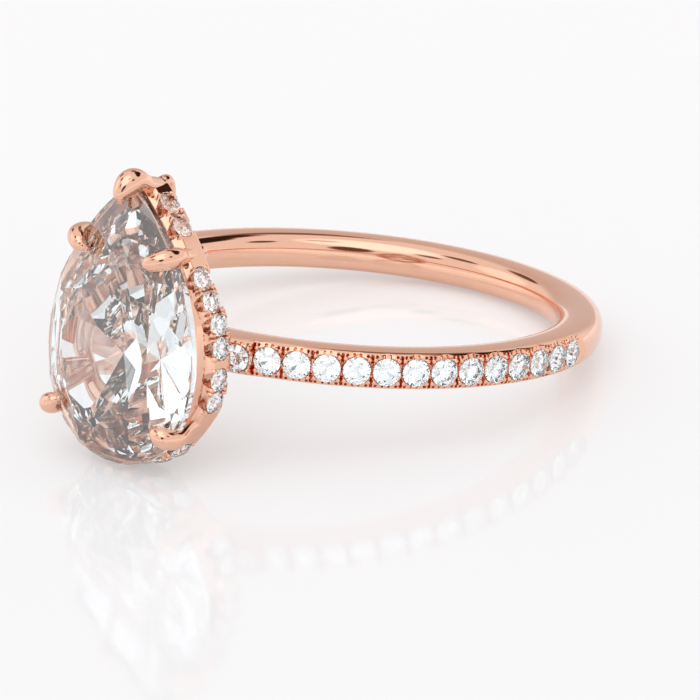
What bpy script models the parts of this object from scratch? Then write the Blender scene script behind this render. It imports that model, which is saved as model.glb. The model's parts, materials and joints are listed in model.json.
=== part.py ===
"""Pear-cut engagement ring: a pave band, a hidden halo under the stone, and five claws.

The ring is modelled in ring axes: Z is the finger axis, with the point of the pear towards +Z, and
-Y runs from the finger out through the head. Everything hangs from one empty, which lays the ring
on a table as it rests when put down: on the back of the band and the round end of the head.
Lengths are in metres and angles in degrees.
"""

import math

import bmesh
import bpy
from mathutils import Matrix, Vector

MM = 0.001

# Band
FINGER_RADIUS = 8.25 * MM
BAND_THICKNESS = 1.71 * MM
BAND_WIDTH = 1.55 * MM
BAND_ROUNDNESS = 2.6  # 2 is an ellipse, and more is squarer
BAND_STATIONS = 96
SECTION_POINTS = 10

# Round stones along both shoulders of the band
BAND_STONES = 14  # a side
BAND_STONE_DIAMETER = 1.03 * MM
BAND_STONE_SPACE = 0.079 * MM  # between neighbours
BAND_STONE_SINK = 0.15 * MM  # girdle below the metal around it
FIRST_STONE_REACH = 3.12 * MM  # sideways from the middle of the head
SHOULDER_RISE = 0.33 * MM  # how far the metal climbs to meet the head
SHOULDER_LENGTH = 7.5  # degrees of the band that the climb takes

# Centre stone, a pear brilliant
PEAR_HALF_WIDTH = 3.6 * MM
PEAR_ROUND_END = 4.1 * MM  # from the widest place to the round end
PEAR_POINT_END = 6.5 * MM  # from the widest place to the point
PEAR_WIDEST = -0.2 * MM  # height of the widest place along the finger axis
PEAR_FULLNESS = 2.2
PEAR_TAPER = 0.94
GIRDLE_THICKNESS = 0.2 * MM
CROWN_HEIGHT = 1.0 * MM
PAVILION_DEPTH = 2.7 * MM
MAIN_FACETS = 8
TABLE_SHARE = 0.56
GIRDLE_POINTS = 32
CROWN_BREAK = 0.84  # where the crown's upper and lower facets meet, as a share of the outline
CROWN_BREAK_HEIGHT = 0.52  # of the crown's height
PAVILION_BREAK = 0.3
PAVILION_BREAK_DEPTH = 0.76  # of the pavilion's depth

# Hidden halo: a wall of round stones that face outwards below the girdle
HALO_TOP = 0.3 * MM  # below the girdle plane
HALO_ROW = 1.45 * MM
HALO_BOTTOM = 2.0 * MM
HALO_WALL = 0.8 * MM
HALO_EASE = 0.1 * MM
HALO_DIP = 0.38 * MM  # how far the wall dips at each side to meet the band
HALO_DIP_HALF = 1.3 * MM
HALO_DIP_END = 3.1 * MM
HALO_STATIONS = 72
HALO_STONE_DIAMETER = 0.86 * MM
HALO_STONE_SPACE = 0.02 * MM  # between neighbours
HALO_STONE_SINK = 0.03 * MM
HALO_WIDE_SPACE = 0.14 * MM  # between neighbours at the point and on the round end
HALO_POINT_STONES = 2  # between the point claw and each upper claw
HALO_ABOVE_STONES = 4  # between each upper claw and the band
HALO_BELOW_STONES = 2  # between the band and each lower claw
HALO_END_STONES = 3  # on each half of the round end
HALO_BAND_SPACE = 0.17 * MM  # from the band's middle to the edge of the nearest halo stones

# Claws
CLAW_RADIUS = 0.3 * MM
LEG_RADIUS = 0.25 * MM  # below the halo
CLAW_BULB = 0.4 * MM
CLAW_TIP = 0.17 * MM
CLAW_SET_BACK = 0.22 * MM  # middle of the shaft inside the halo's outer wall
CLAW_REACH = 0.72 * MM  # over the crown, inwards from the girdle
CLAW_SWELL = 1.25  # of the shaft's radius, where it passes the girdle
CLAW_TAPER = 0.78  # of the bulb's radius, halfway to the tip
CLAW_SIDES = 10
UPPER_CLAW_SHARE = 0.628  # of the way from the widest place to the point
LOWER_CLAW_SHARE = 0.615  # of the way from the widest place to the round end
UPPER_CLAW_DROOP = 23.0  # how far its tip points towards the round end, in degrees
LOWER_CLAW_DROOP = -30.0
LOWER_CLAW_LEAN = 0.33  # how far it leans along the halo, towards the band, for each millimetre of depth

# Base of the head, a small collar that sits on the bridge of the band
BRIDGE_THICKNESS = 1.05 * MM
BRIDGE_SHOULDER = 0.255 * MM  # metal between the bridge and the first seat
COLLAR_INNER_SHARE = 0.30  # of the pear's outline
COLLAR_WALL = 0.6 * MM
COLLAR_HEIGHT = 0.45 * MM
COLLAR_STATIONS = 32

# Small stones, both sizes, as shares of their diameter
STONE_SIDES = 8
STONE_TABLE = 0.58
STONE_CROWN = 0.16
STONE_GIRDLE = 0.04
STONE_PAVILION = 0.42

# Side cuts that open each seat towards the edges of the metal
SIDE_CUT_RADIUS = 0.33 * MM
SIDE_CUT_DEPTH = 0.36 * MM
HALO_CUT_HALF_WIDTH = 0.33 * MM
HALO_CUT_REACH = 0.66 * MM
HALO_CUT_DEPTH = 0.3 * MM
CUT_STEPS = 4  # in each rounded end of a side cut
SHOULDER_RELIEF = 0.62 * MM  # radius of the notch in the halo over the end stone of each shoulder

# Clearances between pieces
SEAT_GAP = 0.02 * MM
CLAW_GAP = 0.03 * MM
STONE_GAP = 0.09 * MM
COLLAR_GAP = 0.02 * MM
FOOT_GAP = 0.07 * MM  # claws over the collar
CULET_GAP = 0.14 * MM  # over the bridge
BEYOND = 1.0 * MM  # how far a cutter runs past the metal

BAND_MIDDLE = FINGER_RADIUS + BAND_THICKNESS / 2
BAND_OUTER = FINGER_RADIUS + BAND_THICKNESS
BRIDGE_TOP = FINGER_RADIUS + BRIDGE_THICKNESS
BRIDGE_HALF_LENGTH = FIRST_STONE_REACH - BAND_STONE_DIAMETER / 2 - BRIDGE_SHOULDER
GIRDLE_LIFT = BRIDGE_TOP + CULET_GAP + PAVILION_DEPTH + GIRDLE_THICKNESS / 2
FIRST_STONE_ANGLE = math.degrees(math.asin(FIRST_STONE_REACH / (BAND_OUTER - BAND_STONE_SINK)))
BAND_STONE_STEP = BAND_STONE_DIAMETER + BAND_STONE_SPACE
STONE_STEP_ANGLE = math.degrees(BAND_STONE_STEP / (BAND_OUTER - BAND_STONE_SINK))
HALO_STONE_STEP = HALO_STONE_DIAMETER + HALO_STONE_SPACE
HALO_WIDE_STEP = HALO_STONE_DIAMETER + HALO_WIDE_SPACE
HALO_BAND_REACH = HALO_STONE_DIAMETER / 2 + HALO_BAND_SPACE
UPPER_CLAW = PEAR_WIDEST + UPPER_CLAW_SHARE * PEAR_POINT_END
LOWER_CLAW = PEAR_WIDEST - LOWER_CLAW_SHARE * PEAR_ROUND_END
# Name, height along the finger axis, side, the angle its tip points below sideways, and its lean
CLAWS = (
    ("claw_point", PEAR_WIDEST + PEAR_POINT_END, 0, 90.0, 0.0),
    ("claw_upper_right", UPPER_CLAW, 1, UPPER_CLAW_DROOP, 0.0),
    ("claw_lower_right", LOWER_CLAW, 1, LOWER_CLAW_DROOP, LOWER_CLAW_LEAN),
    ("claw_lower_left", LOWER_CLAW, -1, LOWER_CLAW_DROOP, LOWER_CLAW_LEAN),
    ("claw_upper_left", UPPER_CLAW, -1, UPPER_CLAW_DROOP, 0.0),
)


def clear_scene():
    """Removes whatever the scene holds."""
    for obj in list(bpy.data.objects):
        bpy.data.objects.remove(obj, do_unlink=True)


def material(name, colour, roughness, metallic, transmission=0.0, ior=1.45):
    """A Principled material."""
    made = bpy.data.materials.new(name)
    made.use_nodes = True
    made.diffuse_color = (*colour, 1.0)
    shader = made.node_tree.nodes["Principled BSDF"]
    shader.inputs["Base Color"].default_value = (*colour, 1.0)
    shader.inputs["Roughness"].default_value = roughness
    shader.inputs["Metallic"].default_value = metallic
    shader.inputs["Transmission Weight"].default_value = transmission
    shader.inputs["IOR"].default_value = ior
    return made


def finish(bm, name, finish_material, parent, smooth=False, cutter=False):
    """Turns a bmesh into a named object on the given parent."""
    bmesh.ops.recalc_face_normals(bm, faces=bm.faces)
    mesh = bpy.data.meshes.new(name)
    bm.to_mesh(mesh)
    bm.free()
    obj = bpy.data.objects.new(name, mesh)
    bpy.context.scene.collection.objects.link(obj)
    obj.parent = parent
    if finish_material:
        mesh.materials.append(finish_material)
    if smooth:
        mesh.shade_smooth()
        mesh.set_sharp_from_angle(angle=math.radians(35))
    if cutter:
        obj.hide_render = True
        obj.display_type = "WIRE"
    return obj


def cut(target, cutter, name):
    """Subtracts the cutter from the target."""
    modifier = target.modifiers.new(name, "BOOLEAN")
    modifier.operation = "DIFFERENCE"
    modifier.solver = "EXACT"
    modifier.object = cutter


def bridge_rings(bm, rings, closed_path):
    """Joins rings of vertices, of equal length, into a tube of quads."""
    pairs = list(zip(rings, rings[1:]))
    if closed_path:
        pairs.append((rings[-1], rings[0]))
    for first, second in pairs:
        for i in range(len(first)):
            j = (i + 1) % len(first)
            bm.faces.new((first[i], first[j], second[j], second[i]))


def turned(bm, profile, sides, place):
    """Adds a solid turned about its own Z from (radius, height) points, then placed by a matrix."""
    ends = [profile[0], profile[-1]]
    rings = []
    for radius, height in profile:
        if radius == 0:
            continue
        ring = []
        for i in range(sides):
            turn = 2 * math.pi * (i + 0.5) / sides
            point = Vector((radius * math.cos(turn), radius * math.sin(turn), height))
            ring.append(bm.verts.new(place @ point))
        rings.append(ring)
    bridge_rings(bm, rings, False)
    for (radius, height), ring in zip(ends, (rings[0], rings[-1])):
        if radius == 0:
            tip = bm.verts.new(place @ Vector((0, 0, height)))
            for i in range(sides):
                bm.faces.new((ring[i], ring[(i + 1) % sides], tip))
        else:
            bm.faces.new(ring)


def pear(turn, grow=0.0):
    """A point (x, z) of the pear's outline, grown outwards, at an angle from +X towards the point."""
    width = PEAR_HALF_WIDTH + grow
    cosine = math.cos(turn)
    sine = math.sin(turn)
    if sine >= 0:
        share = max(0.0, 1 - sine * sine) ** PEAR_TAPER
        reach = (PEAR_POINT_END + grow * PEAR_POINT_END / PEAR_HALF_WIDTH) * sine
    else:
        share = max(0.0, 1 - (-sine) ** PEAR_FULLNESS) ** (1 / PEAR_FULLNESS)
        reach = (PEAR_ROUND_END + grow * PEAR_ROUND_END / PEAR_HALF_WIDTH) * sine
    return math.copysign(width * share, cosine), PEAR_WIDEST + reach


class Outline:
    """The pear's outline, measured along its length clockwise from the point."""

    SAMPLES = 1440

    def __init__(self):
        turns = [math.pi / 2 - 2 * math.pi * i / self.SAMPLES for i in range(self.SAMPLES + 1)]
        self.points = [Vector(pear(turn)) for turn in turns]
        self.lengths = [0.0]
        for a, b in zip(self.points, self.points[1:]):
            self.lengths.append(self.lengths[-1] + (b - a).length)
        self.length = self.lengths[-1]

    def at(self, distance):
        """The point and the outward normal, both (x, z), at a distance along the outline."""
        distance %= self.length
        low, high = 0, self.SAMPLES
        while high - low > 1:
            middle = (low + high) // 2
            if self.lengths[middle] <= distance:
                low = middle
            else:
                high = middle
        a, b = self.points[low], self.points[high]
        share = (distance - self.lengths[low]) / (self.lengths[high] - self.lengths[low])
        before = self.points[(low - 6) % self.SAMPLES]
        after = self.points[(high + 6) % self.SAMPLES]
        along = (after - before).normalized()
        return a.lerp(b, share), Vector((-along.y, along.x))

    def distance_of(self, height, side):
        """How far along the outline a height lies, on the right (1), on the left (-1) or at the point (0)."""
        if side == 0:
            return 0.0
        half = range(self.SAMPLES // 2)
        nearest = min(half, key=lambda i: abs(self.points[i].y - height))
        distance = self.lengths[nearest]
        return distance if side > 0 else self.length - distance


OUTLINE = Outline()


def head_point(x, z, depth):
    """A point in ring axes, at a depth below the girdle plane."""
    return Vector((x, -GIRDLE_LIFT + depth, z))


def pavilion_inset(depth):
    """How far inside the girdle the stone's underside lies at a depth, beside the widest place."""
    return (depth - GIRDLE_THICKNESS / 2) / PAVILION_DEPTH * PEAR_HALF_WIDTH


def eased(share):
    """A share from 0 to 1, smoothed at both ends."""
    share = min(1.0, max(0.0, share))
    return share * share * (3 - 2 * share)


def halo_depth(depth, height):
    """A depth of the halo's wall, which dips at the band and is drawn up everywhere else."""
    away = (abs(height) - HALO_DIP_HALF) / (HALO_DIP_END - HALO_DIP_HALF)
    return depth - HALO_DIP * eased(away)


def rise(angle):
    """How far the band's outside climbs at an angle from the head."""
    start = FIRST_STONE_ANGLE + SHOULDER_LENGTH
    return SHOULDER_RISE * eased((start - abs(angle)) / SHOULDER_LENGTH)


def band_point(angle, radius, z):
    """A point in ring axes, at an angle from the head towards +X."""
    turn = math.radians(angle)
    return Vector((radius * math.sin(turn), -radius * math.cos(turn), z))


def outward_place(origin, outward, across):
    """A matrix that puts a turned solid at the origin, with its Z outward and its X across."""
    z_axis = outward.normalized()
    x_axis = (across - across.project(z_axis)).normalized()
    y_axis = z_axis.cross(x_axis)
    turn = Matrix((x_axis, y_axis, z_axis)).transposed().to_4x4()
    return Matrix.Translation(origin) @ turn


def band_places():
    """(name, matrix) of each stone on the band."""
    places = []
    for side, word in ((1, "right"), (-1, "left")):
        for i in range(BAND_STONES):
            angle = side * (FIRST_STONE_ANGLE + i * STONE_STEP_ANGLE)
            radius = BAND_OUTER + rise(angle) - BAND_STONE_SINK
            place = outward_place(
                band_point(angle, radius, 0), band_point(angle, 1, 0), Vector((0, 0, 1))
            )
            places.append((f"band_stone_{word}_{i + 1:02d}", place))
    return places


def halo_distances():
    """How far along the outline each halo stone stands, clockwise from the point."""
    upper = OUTLINE.distance_of(UPPER_CLAW, 1)
    middle = OUTLINE.distance_of(0, 1)
    end = OUTLINE.length / 2
    spread = (HALO_POINT_STONES - 1) / 2
    right = [upper / 2 + (i - spread) * HALO_WIDE_STEP for i in range(HALO_POINT_STONES)]
    above = [HALO_BAND_REACH + i * HALO_STONE_STEP for i in range(HALO_ABOVE_STONES)]
    right += [middle - distance for distance in reversed(above)]
    below = [HALO_BAND_REACH + i * HALO_STONE_STEP for i in range(HALO_BELOW_STONES)]
    right += [middle + distance for distance in below]
    right += [end - (i + 0.5) * HALO_WIDE_STEP for i in reversed(range(HALO_END_STONES))]
    return right + [OUTLINE.length - distance for distance in reversed(right)]


def halo_places():
    """(name, matrix) of each stone in the halo."""
    places = []
    for i, distance in enumerate(halo_distances()):
        point, normal = OUTLINE.at(distance)
        seat = point - normal * HALO_STONE_SINK
        origin = head_point(seat.x, seat.y, halo_depth(HALO_ROW, point.y))
        place = outward_place(origin, Vector((normal.x, 0, normal.y)), Vector((0, 1, 0)))
        places.append((f"halo_stone_{i + 1:02d}", place))
    return places


def stone_profile(diameter):
    """Side view of a small stone, culet first, with its girdle's middle at height 0."""
    radius = diameter / 2
    half_girdle = STONE_GIRDLE * diameter / 2
    return (
        (0, -half_girdle - STONE_PAVILION * diameter),
        (radius, -half_girdle),
        (radius, half_girdle),
        (radius * STONE_TABLE, half_girdle + STONE_CROWN * diameter),
    )


def seat_profile(diameter):
    """Side view of the hole a small stone sits in, open above its girdle."""
    radius = diameter / 2 + SEAT_GAP
    half_girdle = STONE_GIRDLE * diameter / 2
    depth = half_girdle + (STONE_PAVILION * diameter) + 3 * SEAT_GAP
    return (
        (0, -depth),
        (radius, -half_girdle - SEAT_GAP / 2),
        (radius, BEYOND / 2),
    )


def stones(places, diameter, finish_material, parent):
    """One object for each small stone. They share a mesh, as the same cut."""
    bm = bmesh.new()
    turned(bm, stone_profile(diameter), STONE_SIDES, Matrix.Identity(4))
    name, place = places[0]
    first = finish(bm, name, finish_material, parent)
    first.matrix_local = place
    for name, place in places[1:]:
        copy = bpy.data.objects.new(name, first.data)
        bpy.context.scene.collection.objects.link(copy)
        copy.parent = parent
        copy.matrix_local = place


def seats(name, places, diameter, parent):
    """The cutter that makes the seats of a row of small stones."""
    bm = bmesh.new()
    for _, place in places:
        turned(bm, seat_profile(diameter), STONE_SIDES, place)
    return finish(bm, name, None, parent, cutter=True)


def prism(bm, outline, start, end, place):
    """Adds a prism of (x, y) points between two heights, then placed by a matrix."""
    rings = [[bm.verts.new(place @ Vector((x, y, z))) for x, y in outline] for z in (start, end)]
    bridge_rings(bm, rings, False)
    for ring in rings:
        bm.faces.new(ring)


def arc(middle, radius, start, end, steps):
    """Points along an arc, angles in degrees."""
    points = []
    for i in range(steps + 1):
        turn = math.radians(start + (end - start) * i / steps)
        points.append((middle[0] + radius * math.cos(turn), middle[1] + radius * math.sin(turn)))
    return points


def band(metal, parent):
    """The band: a closed ring with a rounded section, its seats, its side cuts and its bridge."""
    bm = bmesh.new()
    section = []
    power = 2 / BAND_ROUNDNESS
    for i in range(SECTION_POINTS):
        turn = 2 * math.pi * (i + 0.5) / SECTION_POINTS
        out = math.copysign(abs(math.cos(turn)) ** power, math.cos(turn)) * BAND_THICKNESS / 2
        up = math.copysign(abs(math.sin(turn)) ** power, math.sin(turn)) * BAND_WIDTH / 2
        section.append(bm.verts.new((0, -BAND_MIDDLE - out, up)))
    edges = [
        bm.edges.new((section[i], section[(i + 1) % SECTION_POINTS])) for i in range(SECTION_POINTS)
    ]
    bmesh.ops.spin(
        bm,
        geom=edges,
        cent=(0, 0, 0),
        axis=(0, 0, 1),
        angle=2 * math.pi,
        steps=BAND_STATIONS,
        use_merge=True,
    )
    for vert in bm.verts:
        radius = math.hypot(vert.co.x, vert.co.y)
        angle = math.degrees(math.atan2(vert.co.x, -vert.co.y))
        outwards = max(0.0, radius - BAND_MIDDLE) / (BAND_THICKNESS / 2)
        scale = (radius + rise(angle) * outwards) / radius
        vert.co.x *= scale
        vert.co.y *= scale
    ring = finish(bm, "band", metal, parent, smooth=True)

    places = band_places()
    bm = bmesh.new()
    floor = BAND_STONE_SINK - SIDE_CUT_DEPTH + SIDE_CUT_RADIUS
    outline = arc((0, floor), SIDE_CUT_RADIUS, 180, 360, CUT_STEPS)
    outline += [(SIDE_CUT_RADIUS, BEYOND), (-SIDE_CUT_RADIUS, BEYOND)]
    half_width = BAND_WIDTH / 2 + BEYOND
    for _, place in places:
        # The outline lies across the stone's own axis, so the prism runs along the finger axis.
        lie = Matrix(((0, 0, 1, 0), (1, 0, 0, 0), (0, 1, 0, 0), (0, 0, 0, 1)))
        prism(bm, outline, -half_width, half_width, place @ lie)
    cut(ring, finish(bm, "cut_band_sides", None, parent, cutter=True), "Side cuts")
    cut(ring, seats("cut_band_seats", places, BAND_STONE_DIAMETER, parent), "Seats")

    bm = bmesh.new()
    corners = (
        (-BRIDGE_HALF_LENGTH, -BRIDGE_TOP),
        (BRIDGE_HALF_LENGTH, -BRIDGE_TOP),
        (BRIDGE_HALF_LENGTH, -GIRDLE_LIFT),
        (-BRIDGE_HALF_LENGTH, -GIRDLE_LIFT),
    )
    prism(bm, corners, -half_width, half_width, Matrix.Identity(4))
    cut(ring, finish(bm, "cut_bridge", None, parent, cutter=True), "Bridge")
    return ring


def halo(metal, parent):
    """The hidden halo: a pear-shaped wall with seats, side cuts, grooves for the claws and reliefs."""
    bearing = STONE_GAP - pavilion_inset(HALO_TOP)
    shelf = GIRDLE_THICKNESS / 2 + (STONE_GAP + HALO_WALL) * PAVILION_DEPTH / PEAR_HALF_WIDTH
    bm = bmesh.new()
    rings = []
    for i in range(HALO_STATIONS):
        turn = math.pi / 2 - 2 * math.pi * i / HALO_STATIONS
        bottom = halo_depth(HALO_BOTTOM, pear(turn)[1])
        section = (
            (bearing, HALO_TOP),
            (-HALO_EASE, HALO_TOP),
            (0.0, HALO_TOP + HALO_EASE),
            (0.0, bottom - HALO_EASE),
            (-HALO_EASE, bottom),
            (-HALO_WALL, bottom),
            (-HALO_WALL, shelf),
        )
        ring = []
        for grow, depth in section:
            x, z = pear(turn, grow)
            ring.append(bm.verts.new(head_point(x, z, depth)))
        rings.append(ring)
    bridge_rings(bm, rings, True)
    rail = finish(bm, "halo_rail", metal, parent, smooth=True)

    places = halo_places()
    bm = bmesh.new()
    straight = HALO_CUT_REACH - HALO_CUT_HALF_WIDTH
    outline = arc((straight, 0), HALO_CUT_HALF_WIDTH, -90, 90, CUT_STEPS)
    outline += arc((-straight, 0), HALO_CUT_HALF_WIDTH, 90, 270, CUT_STEPS)
    for _, place in places:
        prism(bm, outline, HALO_STONE_SINK - HALO_CUT_DEPTH, BEYOND / 2, place)
    cut(rail, finish(bm, "cut_halo_sides", None, parent, cutter=True), "Side cuts")
    cut(rail, seats("cut_halo_seats", places, HALO_STONE_DIAMETER, parent), "Seats")

    bm = bmesh.new()
    for _, height, side, droop, lean in CLAWS:
        add_claw(bm, height, side, droop, lean, CLAW_GAP)
    cut(rail, finish(bm, "cut_claw_grooves", None, parent, cutter=True), "Claw grooves")

    bm = bmesh.new()
    place = outward_place(head_point(0, 0, HALO_BOTTOM), Vector((1, 0, 0)), Vector((0, 1, 0)))
    reach = PEAR_HALF_WIDTH + BEYOND
    turned(bm, ((SHOULDER_RELIEF, -reach), (SHOULDER_RELIEF, reach)), 12, place)
    cut(rail, finish(bm, "cut_shoulder_reliefs", None, parent, cutter=True), "Shoulder reliefs")
    return rail


def smooth_path(knots, steps):
    """Points on a curve through (position, radius) knots, with steps between each pair."""
    points = []
    for i in range(len(knots) - 1):
        before = knots[max(0, i - 1)]
        a, b = knots[i], knots[i + 1]
        after = knots[min(len(knots) - 1, i + 2)]
        for j in range(steps):
            t = j / steps
            place = catmull(before[0], a[0], b[0], after[0], t)
            radius = catmull(before[1], a[1], b[1], after[1], t)
            points.append((place, radius))
    points.append(knots[-1])
    return points


def catmull(before, a, b, after, t):
    """A point on the Catmull-Rom curve between a and b."""
    return (
        a * (2 - 5 * t * t + 3 * t**3)
        + b * (t + 4 * t * t - 3 * t**3)
        + after * (t**3 - t * t)
        - before * (t - 2 * t * t + t**3)
    ) / 2


def tube(bm, path, sides, sideways):
    """Adds a closed tube along (position, radius) points that lie in one plane."""
    rings = []
    for i, (place, radius) in enumerate(path):
        before = path[max(0, i - 1)][0]
        after = path[min(len(path) - 1, i + 1)][0]
        along = (after - before).normalized()
        up = along.cross(sideways).normalized()
        ring = []
        for j in range(sides):
            turn = 2 * math.pi * (j + 0.5) / sides
            offset = sideways * math.cos(turn) + up * math.sin(turn)
            ring.append(bm.verts.new(place + offset * radius))
        rings.append(ring)
    bridge_rings(bm, rings, False)
    bm.faces.new(rings[0])
    bm.faces.new(rings[-1])


def add_claw(bm, height, side, droop, lean, grow=0.0):
    """Adds one claw: a leg from the collar, a shaft in the halo's wall, and a bulb over the crown."""
    distance = OUTLINE.distance_of(height, side)
    turn = math.radians(droop)
    inwards = Vector((-side * math.cos(turn), -math.sin(turn)))
    bottom = halo_depth(HALO_BOTTOM, height)
    below = bottom + LEG_RADIUS

    def beside(depth):
        return OUTLINE.at(distance - side * lean * max(0.0, depth))[0]

    def within(inward, depth):
        flat = beside(depth) + inwards * inward
        return head_point(flat.x, flat.y, depth)

    def above_collar(share):
        flat = Vector((0, PEAR_WIDEST)).lerp(beside(below), share)
        return Vector((flat.x, -foot_lift, flat.y))

    foot = COLLAR_INNER_SHARE + COLLAR_WALL / PEAR_HALF_WIDTH / 2
    foot_end = foot + LEG_RADIUS / PEAR_HALF_WIDTH * 2
    foot_lift = BRIDGE_TOP + COLLAR_GAP + COLLAR_HEIGHT + FOOT_GAP + LEG_RADIUS
    crown_slope = CROWN_HEIGHT / (PEAR_HALF_WIDTH * (1 - TABLE_SHARE))
    over = GIRDLE_THICKNESS / 2 + CROWN_HEIGHT / 2
    tip_depth = -GIRDLE_THICKNESS / 2 - CLAW_REACH * crown_slope - CLAW_TIP
    knots = (
        (above_collar(foot), LEG_RADIUS),
        (above_collar(foot_end), LEG_RADIUS),
        (within(CLAW_SET_BACK * 2, below), LEG_RADIUS),
        (within(CLAW_SET_BACK, bottom - CLAW_RADIUS), CLAW_RADIUS),
        (within(CLAW_SET_BACK / 2, HALO_TOP), CLAW_RADIUS),
        (within(-CLAW_SET_BACK / 2, -GIRDLE_THICKNESS), CLAW_RADIUS * CLAW_SWELL),
        (within(CLAW_SET_BACK / 2, -over), CLAW_BULB),
        (within(CLAW_REACH / 2, tip_depth), CLAW_BULB * CLAW_TAPER),
        (within(CLAW_REACH, tip_depth), CLAW_TIP),
    )
    path = [(place, radius + grow) for place, radius in smooth_path(knots, 2)]
    tube(bm, path, CLAW_SIDES, Vector((inwards.y, 0, -inwards.x)))


def claw(name, height, side, droop, lean, metal, parent, notch):
    """One claw, notched where it grips the stone's girdle."""
    bm = bmesh.new()
    add_claw(bm, height, side, droop, lean)
    made = finish(bm, name, metal, parent, smooth=True)
    cut(made, notch, "Girdle notch")
    return made


def collar(metal, parent):
    """The base of the head: a small pear-shaped collar around the culet, on the bridge."""
    bottom = BRIDGE_TOP + COLLAR_GAP
    top = bottom + COLLAR_HEIGHT
    inner = (COLLAR_INNER_SHARE - 1) * PEAR_HALF_WIDTH
    outer = inner + COLLAR_WALL
    ease = COLLAR_WALL / 4
    section = (
        (inner, bottom),
        (outer, bottom),
        (outer, top - ease),
        (outer - ease, top),
        (inner, top),
    )
    bm = bmesh.new()
    rings = []
    for i in range(COLLAR_STATIONS):
        turn = 2 * math.pi * i / COLLAR_STATIONS
        ring = []
        for grow, lift in section:
            x, z = pear(turn, grow)
            ring.append(bm.verts.new((x, -lift, z)))
        rings.append(ring)
    bridge_rings(bm, rings, True)
    return finish(bm, "collar", metal, parent, smooth=True)


def pear_stone(name, gap, finish_material, parent, cutter=False):
    """The pear brilliant, grown by a gap: the hull of its girdle, table, culet and facet corners."""
    bm = bmesh.new()
    half = GIRDLE_THICKNESS / 2 + gap

    def ring(count, share, depth, shift=0.0):
        grow = (share - 1) * PEAR_HALF_WIDTH + gap
        for i in range(count):
            x, z = pear(math.pi / 2 + 2 * math.pi * (i + shift) / count, grow)
            bm.verts.new(head_point(x, z, depth))

    ring(GIRDLE_POINTS, 1.0, -half)
    ring(GIRDLE_POINTS, 1.0, half)
    ring(MAIN_FACETS, CROWN_BREAK, -half - CROWN_HEIGHT * CROWN_BREAK_HEIGHT)
    ring(MAIN_FACETS, TABLE_SHARE, -half - CROWN_HEIGHT, 0.5)
    ring(MAIN_FACETS, PAVILION_BREAK, half + PAVILION_DEPTH * PAVILION_BREAK_DEPTH, 0.5)
    bm.verts.new(head_point(0, PEAR_WIDEST, half + PAVILION_DEPTH))
    hull = bmesh.ops.convex_hull(bm, input=bm.verts)
    bmesh.ops.delete(bm, geom=hull["geom_interior"], context="VERTS")
    bmesh.ops.dissolve_limit(bm, angle_limit=math.radians(0.5), verts=bm.verts, edges=bm.edges)
    return finish(bm, name, finish_material, parent, cutter=cutter)


def world_points():
    """Every vertex of the rendered pieces, in the world."""
    bpy.context.view_layer.update()
    graph = bpy.context.evaluated_depsgraph_get()
    points = []
    for obj in bpy.context.scene.objects:
        if obj.type != "MESH" or obj.hide_render:
            continue
        shape = obj.evaluated_get(graph)
        points += [shape.matrix_world @ vert.co for vert in shape.to_mesh().vertices]
        shape.to_mesh_clear()
    return points


def lay_on_table(rest):
    """Tilts the ring until the head and the back of the band touch z = 0, centred on the origin."""
    points = world_points()
    tilt = 0.0
    for _ in range(8):
        down = Vector((0, -math.sin(tilt), -math.cos(tilt)))
        head = max((p for p in points if p.y < 0), key=lambda p: p.dot(down))
        back = max((p for p in points if p.y >= 0), key=lambda p: p.dot(down))
        tilt = -math.atan2(back.z - head.z, back.y - head.y)
    turn = Matrix.Rotation(tilt, 4, "X")
    turned_points = [turn @ p for p in points]
    low = Vector([min(p[axis] for p in turned_points) for axis in range(3)])
    high = Vector([max(p[axis] for p in turned_points) for axis in range(3)])
    rest.rotation_euler = (tilt, 0, 0)
    rest.location = (-(low.x + high.x) / 2, -(low.y + high.y) / 2, -low.z)


def main():
    """Builds the ring and lays it on the table."""
    clear_scene()
    rest = bpy.data.objects.new("resting_pose", None)
    bpy.context.scene.collection.objects.link(rest)
    metal = material("rose_gold", (0.80, 0.45, 0.32), 0.12, 1.0)
    diamond = material("diamond", (1.0, 1.0, 1.0), 0.0, 0.0, transmission=1.0, ior=2.42)
    band(metal, rest)
    stones(band_places(), BAND_STONE_DIAMETER, diamond, rest)
    halo(metal, rest)
    stones(halo_places(), HALO_STONE_DIAMETER, diamond, rest)
    notch = pear_stone("cut_girdle_notches", CLAW_GAP, None, rest, cutter=True)
    for name, *shape in CLAWS:
        claw(name, *shape, metal, rest, notch)
    collar(metal, rest)
    pear_stone("centre_stone", 0.0, diamond, rest)
    lay_on_table(rest)


main()
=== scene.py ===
import json
import logging
import math
from collections.abc import Iterable, Iterator
from dataclasses import dataclass, field
from enum import Enum
from typing import TypeVar

import bmesh
import bpy
from mathutils import Matrix, Vector


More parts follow.
